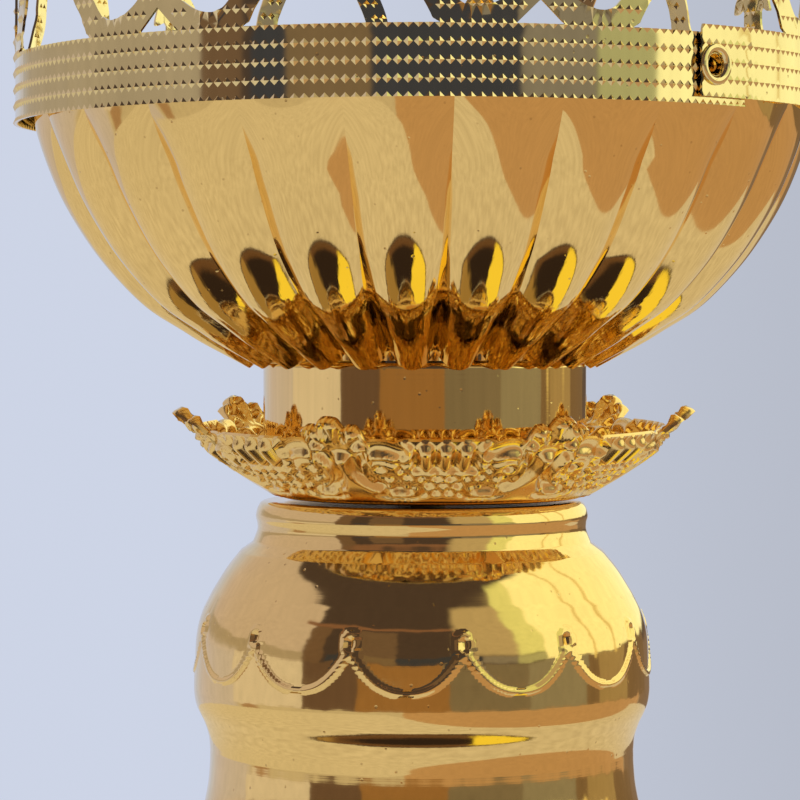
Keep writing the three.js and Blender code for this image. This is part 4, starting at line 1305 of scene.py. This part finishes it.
def wick_tree():
    """A geometry node tree that lays a number of closed strands round each other."""
    tree = bpy.data.node_groups.new("Laid strands", "GeometryNodeTree")
    face = tree.interface
    names = ("Strands", "Strand radius", "Lay radius", "Bottom", "Length", "Turns", "Material")
    for name in names:
        kind = {"Strands": "Int", "Material": "Material"}.get(name, "Float")
        face.new_socket(name, in_out="INPUT", socket_type="NodeSocket" + kind)
    face.new_socket("Geometry", in_out="OUTPUT", socket_type="NodeSocketGeometry")
    nodes = Nodes(tree)
    given = nodes.add("NodeGroupInput").outputs
    spiral = nodes.add("GeometryNodeCurveSpiral", None, {
        "Resolution": 16, "Rotations": given["Turns"], "Start Radius": given["Lay radius"],
        "End Radius": given["Lay radius"], "Height": given["Length"],
    }).outputs[0]
    inputs = {"Resolution": 10, "Radius": given["Strand radius"]}
    section = nodes.add("GeometryNodeCurvePrimitiveCircle", None, inputs)
    strand = nodes.add("GeometryNodeCurveToMesh", None, {
        "Curve": spiral, "Profile Curve": section.outputs[0], "Fill Caps": True,
    }).outputs[0]
    inputs = {"Count": given["Strands"], "Offset": (0, 0, 0)}
    places = nodes.add("GeometryNodeMeshLine", None, inputs).outputs[0]
    index = nodes.value("GeometryNodeInputIndex")
    turn = index * (2 * math.pi) / Value(nodes, given["Strands"])
    inputs = {"Points": places, "Instance": strand, "Rotation": joined(nodes, Z=turn)}
    laid = nodes.add("GeometryNodeInstanceOnPoints", None, inputs)
    whole = nodes.add("GeometryNodeRealizeInstances", None, {"Geometry": laid.outputs[0]}).outputs[0]
    inputs = {"Geometry": whole, "Translation": joined(nodes, Z=given["Bottom"])}
    moved = nodes.add("GeometryNodeTransform", None, inputs).outputs[0]
    coated = nodes.add("GeometryNodeSetMaterial", None, {"Geometry": moved, "Material": given["Material"]})
    nodes.add("NodeGroupOutput", None, {0: coated.outputs[0]})
    return tree


class LAMP_OT_rod(bpy.types.Operator):
    """Finish the tie rod, its nuts, washers and the spacer"""

    bl_idname = "lamp.rod"
    bl_label = "Tie rod"

    def execute(self, context):
        for node in ("tie_rod", "spacer_tube", "vase_disc", "bottom_washer", "top_washer", "bottom_nut",
                     "top_nut"):
            coat(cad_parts[node], "steel_plated")
        return {"FINISHED"}


# Stage


# Panels of the room: colour, span round from the camera's side towards +X, span in height and
# softness of the edge. Angles are degrees. Each panel lies over the ones before it.
ROOM_DARK = (0.075, 0.055, 0.055, 1.0)
ROOM_PANELS = (
    ((0.57, 0.52, 0.43), (-200, 200), (-95, -5), 6),
    ((0.52, 0.34, 0.20), (-9, 140), (-95, -5), 2),
    ((0.40, 0.27, 0.18), (-101, -90), (-30, -6), 3),
    ((0.24, 0.17, 0.12), (140, 168), (-15, -2), 5),
    ((0.58, 0.51, 0.53), (-160, -62), (-7, 46), 2),
    ((0.42, 0.37, 0.33), (-150, -62), (1, 9), 2),
    ((0.57, 0.55, 0.66), (-200, -106), (-28, 1), 8),
    ((0.17, 0.11, 0.08), (-62, -50), (-1, 35), 2),
    ((0.16, 0.11, 0.085), (-37, -13), (0.6, 33), 2),
    ((0.24, 0.13, 0.09), (-70, 22), (35, 39), 2),
    ((0.50, 0.42, 0.28), (20, 52), (8, 52), 7),
    ((0.80, 0.86, 0.42), (50, 68), (8, 56), 4),
    ((1.15, 1.15, 0.72), (66, 166), (0.6, 56), 3),
    ((0.05, 0.055, 0.085), (-47, -37), (1.5, 7.5), 2),
    ((0.20, 0.145, 0.10), (-37, -13), (1.5, 7.5), 2),
    ((0.05, 0.055, 0.085), (-13, 28), (1.5, 7.5), 2),
    ((0.25, 0.23, 0.22), (28, 49), (1.5, 7.5), 2),
    ((0.46, 0.48, 0.29), (49, 67), (1.5, 7.5), 2),
    ((0.21, 0.145, 0.09), (-70, 150), (-7, 0.6), 1),
    ((0.68, 0.64, 0.64), (-108, -62), (-7, 0.6), 1),
    ((0.14, 0.09, 0.07), (-62, -32), (-7, 0.6), 1),
    ((0.31, 0.17, 0.07), (-32, 14), (-7, 0.6), 1.5),
    ((0.21, 0.18, 0.14), (14, 55), (-7, 0.6), 1.5),
    ((0.28, 0.26, 0.21), (55, 90), (-7, 0.6), 1.5),
    ((0.38, 0.29, 0.16), (99, 125), (-7, 0.6), 1.5),
    ((0.56, 0.60, 0.74), (-200, -150), (-25, 60), 20),
    ((0.56, 0.60, 0.74), (166, 200), (-25, 60), 6),
    ((0.80, 0.66, 0.30), (96, 98), (-1, 56), 2),
    ((0.80, 0.66, 0.30), (114, 116), (-1, 56), 2),
)


def far_out(nodes):
    """Distance from the lamp's foot, in metres."""
    return nodes.value("ShaderNodeVectorMath", {"operation": "LENGTH"}, {0: object_place(nodes)}, output=1)


@listed
def floor_pale(nodes):
    """A pale matt floor that fades into the backdrop's colour away from the lamp."""
    inputs = {"Base Color": (0.62, 0.63, 0.68, 1.0), "Roughness": 0.9, "Specular IOR Level": 0.2}
    clear = nodes.add("ShaderNodeBsdfTransparent").outputs[0]
    inputs = {0: far_out(nodes).above(0.55, 0.5), 1: surface(nodes, inputs), 2: clear}
    return nodes.add("ShaderNodeMixShader", None, inputs).outputs[0]


@listed
def table_reflected(nodes):
    """What the gold sees of the table, painted on a glowing card: dark round the foot, a painted reflection of
    the window's light on gold towards the window, and cream beyond.
    """
    x, y, _ = axes(nodes)
    turn = x.math("ARCTAN2", y * -1.0) * math.degrees(1) + noise(nodes, 60.0) * 24.0 - 12.0
    # painted reflection: the yellow towards the window stands for window light reflected off gold
    window_glint_side = turn.above(33.0, 5.0) * (1.0 - turn.above(165.0, 12.0))
    wall_side = 1.0 - turn.above(-56.0, 16.0)
    ragged = far_out(nodes) + noise(nodes, 300.0, 2.0) * 0.012
    dark = nodes.mix(ragged.above(0.118, 0.01), (0.03, 0.02, 0.018, 1.0), (0.14, 0.075, 0.04, 1.0))
    body = nodes.mix(wall_side * 0.8, dark, (0.42, 0.28, 0.10, 1.0))
    body = nodes.mix(window_glint_side, body, (1.0, 0.82, 0.09, 1.0))
    fringe = nodes.mix(ragged.above(0.132, 0.003), body, (0.05, 0.03, 0.025, 1.0))
    cloud = noise(nodes, 45.0, 4.0, 0.6).above(0.5, 0.6)
    cream = nodes.mix(cloud, (0.56, 0.51, 0.42, 1.0), (0.76, 0.71, 0.61, 1.0))
    shade = nodes.mix(ragged.above(0.136, 0.003), fringe, cream)
    # the card glows, so all of these colours are painted reflections, not a lit surface
    return nodes.add("ShaderNodeEmission", None, {"Color": shade}).outputs[0]


def facing(direction):
    """The turn that points a lamp or a camera in a direction."""
    return direction.to_track_quat("-Z", "Y").to_euler()


class LAMP_OT_stage(bpy.types.Operator):
    """Make the floor, the lamps, the surroundings and the camera"""

    bl_idname = "lamp.stage"
    bl_label = "Stage"

    def execute(self, context):
        self.floor()
        self.table()
        self.surroundings()
        self.lamps()
        self.camera()
        context.scene.view_settings.view_transform = "Standard"
        return {"FINISHED"}

    def floor(self):
        """A pale floor that runs out into the colour of the backdrop."""
        mesh = bpy.data.meshes.new("floor")
        reach, corners = 4.0, 64
        points = [(reach * math.cos(t), reach * math.sin(t), 0) for t in round_angles(corners)]
        mesh.from_pydata(points, [], [list(range(corners))])
        made = placed("floor", mesh)
        coat(made, "floor_pale")
        made.visible_glossy = False

    def table(self):
        """The table top round the foot, out to its edge, as a glowing card of painted reflections that only
        reflections see.
        """
        columns, height, foot_radius = 144, 0.0008, 0.057
        edge_side, edge_distance, farthest = math.radians(55), 0.215, 0.7
        turns = round_angles(columns)
        towards = np.clip(np.cos(turns - edge_side), 0.01, 1)
        reach = np.stack([np.full(columns, foot_radius), np.minimum(farthest, edge_distance / towards)])
        level = np.full(reach.shape, height)
        points = np.stack([reach * np.sin(turns), -reach * np.cos(turns), level], axis=-1)
        mesh = bpy.data.meshes.new("reflected_table")
        mesh.from_pydata(points.reshape(-1, 3).tolist(), [], grid_faces(2, columns)[:columns])
        made = placed("reflected_table", mesh)
        coat(made, "table_reflected")
        for seen in ("camera", "diffuse", "transmission", "shadow", "volume_scatter"):
            setattr(made, "visible_" + seen, False)

    def surroundings(self):
        """A soft room: pale all round, with a dark side behind the camera that only reflections see."""
        world = bpy.data.worlds.new("soft_room")
        bpy.context.scene.world = world
        world.use_nodes = True
        world.node_tree.nodes.clear()
        nodes = Nodes(world.node_tree)
        room = nodes.add("ShaderNodeBackground", None, {"Color": self.room(nodes), "Strength": 1.0})
        direction = nodes.add("ShaderNodeTexCoord").outputs["Generated"]
        across = axes(nodes, direction)[0]
        shaded = nodes.mix(across.above(0.03, 0.26), tint("backdrop"), tint("backdrop_shade"))
        plain = nodes.add("ShaderNodeBackground", None, {"Color": shaded, "Strength": 1.0})
        seen = nodes.add("ShaderNodeLightPath").outputs["Is Camera Ray"]
        both = nodes.add("ShaderNodeMixShader", None, {0: seen, 1: room.outputs[0], 2: plain.outputs[0]})
        nodes.add("ShaderNodeOutputWorld", None, {"Surface": both.outputs[0]})

    def room(self, nodes):
        """Colour of the room in each direction, from the list of its panels."""
        direction = nodes.add("ShaderNodeTexCoord").outputs["Generated"]
        x, y, z = axes(nodes, direction)
        waver = noise(nodes, 7.0, 3.0, 0.5, direction) - 0.5
        around = x.math("ARCTAN2", y * -1.0) * math.degrees(1) + waver * 6.0
        rise = z.math("ARCSINE") * math.degrees(1) + waver * 5.0
        mottle = noise(nodes, 22.0, 4.0, 0.6, direction) * 0.4 + 0.8
        shade = ROOM_DARK
        for panel, (left, right), (bottom, top), soft in ROOM_PANELS:
            mask = around.above(left, soft) * rise.above(bottom, soft)
            mask = mask * (1.0 - around.above(right, soft)) * (1.0 - rise.above(top, soft))
            shade = nodes.mix(mask, shade, (*panel, 1.0))
        grey = nodes.add("ShaderNodeCombineColor", None, dict.fromkeys(range(3), mottle)).outputs[0]
        return nodes.mix(1.0, shade, grey, "MULTIPLY")

    def lamps(self):
        """A large soft window on the right and a weaker one high on the left."""
        for name, place, width, height, power in (
            ("window_right", (1.5, -0.35, 0.35), 0.9, 1.5, 9.0),
            ("window_left", (-1.4, -1.0, 1.1), 1.2, 1.0, 4.0),
        ):
            light = bpy.data.lights.new(name, "AREA")
            light.shape = "RECTANGLE"
            light.size = width
            light.size_y = height
            light.energy = power
            lamp = placed(name, light)
            lamp.location = place
            lamp.rotation_euler = facing(Vector((0, 0, 0.15)) - Vector(place))
            lamp.visible_glossy = False

    def camera(self):
        """The camera where the photograph was taken from, aimed so that the lamp sits as it does there."""
        frame_width = 800
        focal_pixels = 3127
        distance, eye = 0.42308, 0.1869
        axis_x, eye_y = 422, 320
        data = bpy.data.cameras.new("camera")
        data.sensor_width = 36
        data.lens = focal_pixels / frame_width * data.sensor_width
        data.clip_start = 0.01
        made = placed("camera", data)
        made.location = (0, -distance, eye)
        across = (axis_x - frame_width / 2) / focal_pixels
        down = (frame_width / 2 - eye_y) / focal_pixels
        target = Vector((-across * distance, 0, eye - down * distance))
        made.rotation_euler = facing(target - made.location)
        bpy.context.scene.camera = made


class LAMP_PT_panel(bpy.types.Panel):
    """Lists the lamp's pieces and sizes"""

    bl_label = "Standing vigil lamp"
    bl_space_type = "VIEW_3D"
    bl_region_type = "UI"
    bl_category = "Lamp"

    def draw(self, context):
        for operator in OPERATORS:
            self.layout.operator(operator.bl_idname)
        for group in (context.scene.lamp_sizes, context.scene.lamp_colours):
            for name in group.__annotations__:
                self.layout.prop(group, name)


OPERATORS = (LAMP_OT_foot, LAMP_OT_stem, LAMP_OT_vase, LAMP_OT_tray, LAMP_OT_collar, LAMP_OT_bowl,
             LAMP_OT_glass, LAMP_OT_rod, LAMP_OT_float, LAMP_OT_crown, LAMP_OT_stage)
CLASSES = (LampSizes, LampColours, *OPERATORS, LAMP_PT_panel)


def register():
    for cls in CLASSES:
        bpy.utils.register_class(cls)
    bpy.types.Scene.lamp_sizes = PointerProperty(type=LampSizes)
    bpy.types.Scene.lamp_colours = PointerProperty(type=LampColours)


def unregister():
    del bpy.types.Scene.lamp_colours
    del bpy.types.Scene.lamp_sizes
    for cls in reversed(CLASSES):
        bpy.utils.unregister_class(cls)


def main():
    """Makes every piece in order."""
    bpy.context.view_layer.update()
    register()
    for operator in OPERATORS:
        family, name = operator.bl_idname.split(".")
        getattr(getattr(bpy.ops, family), name)()


if __name__ == "__main__":
    main()
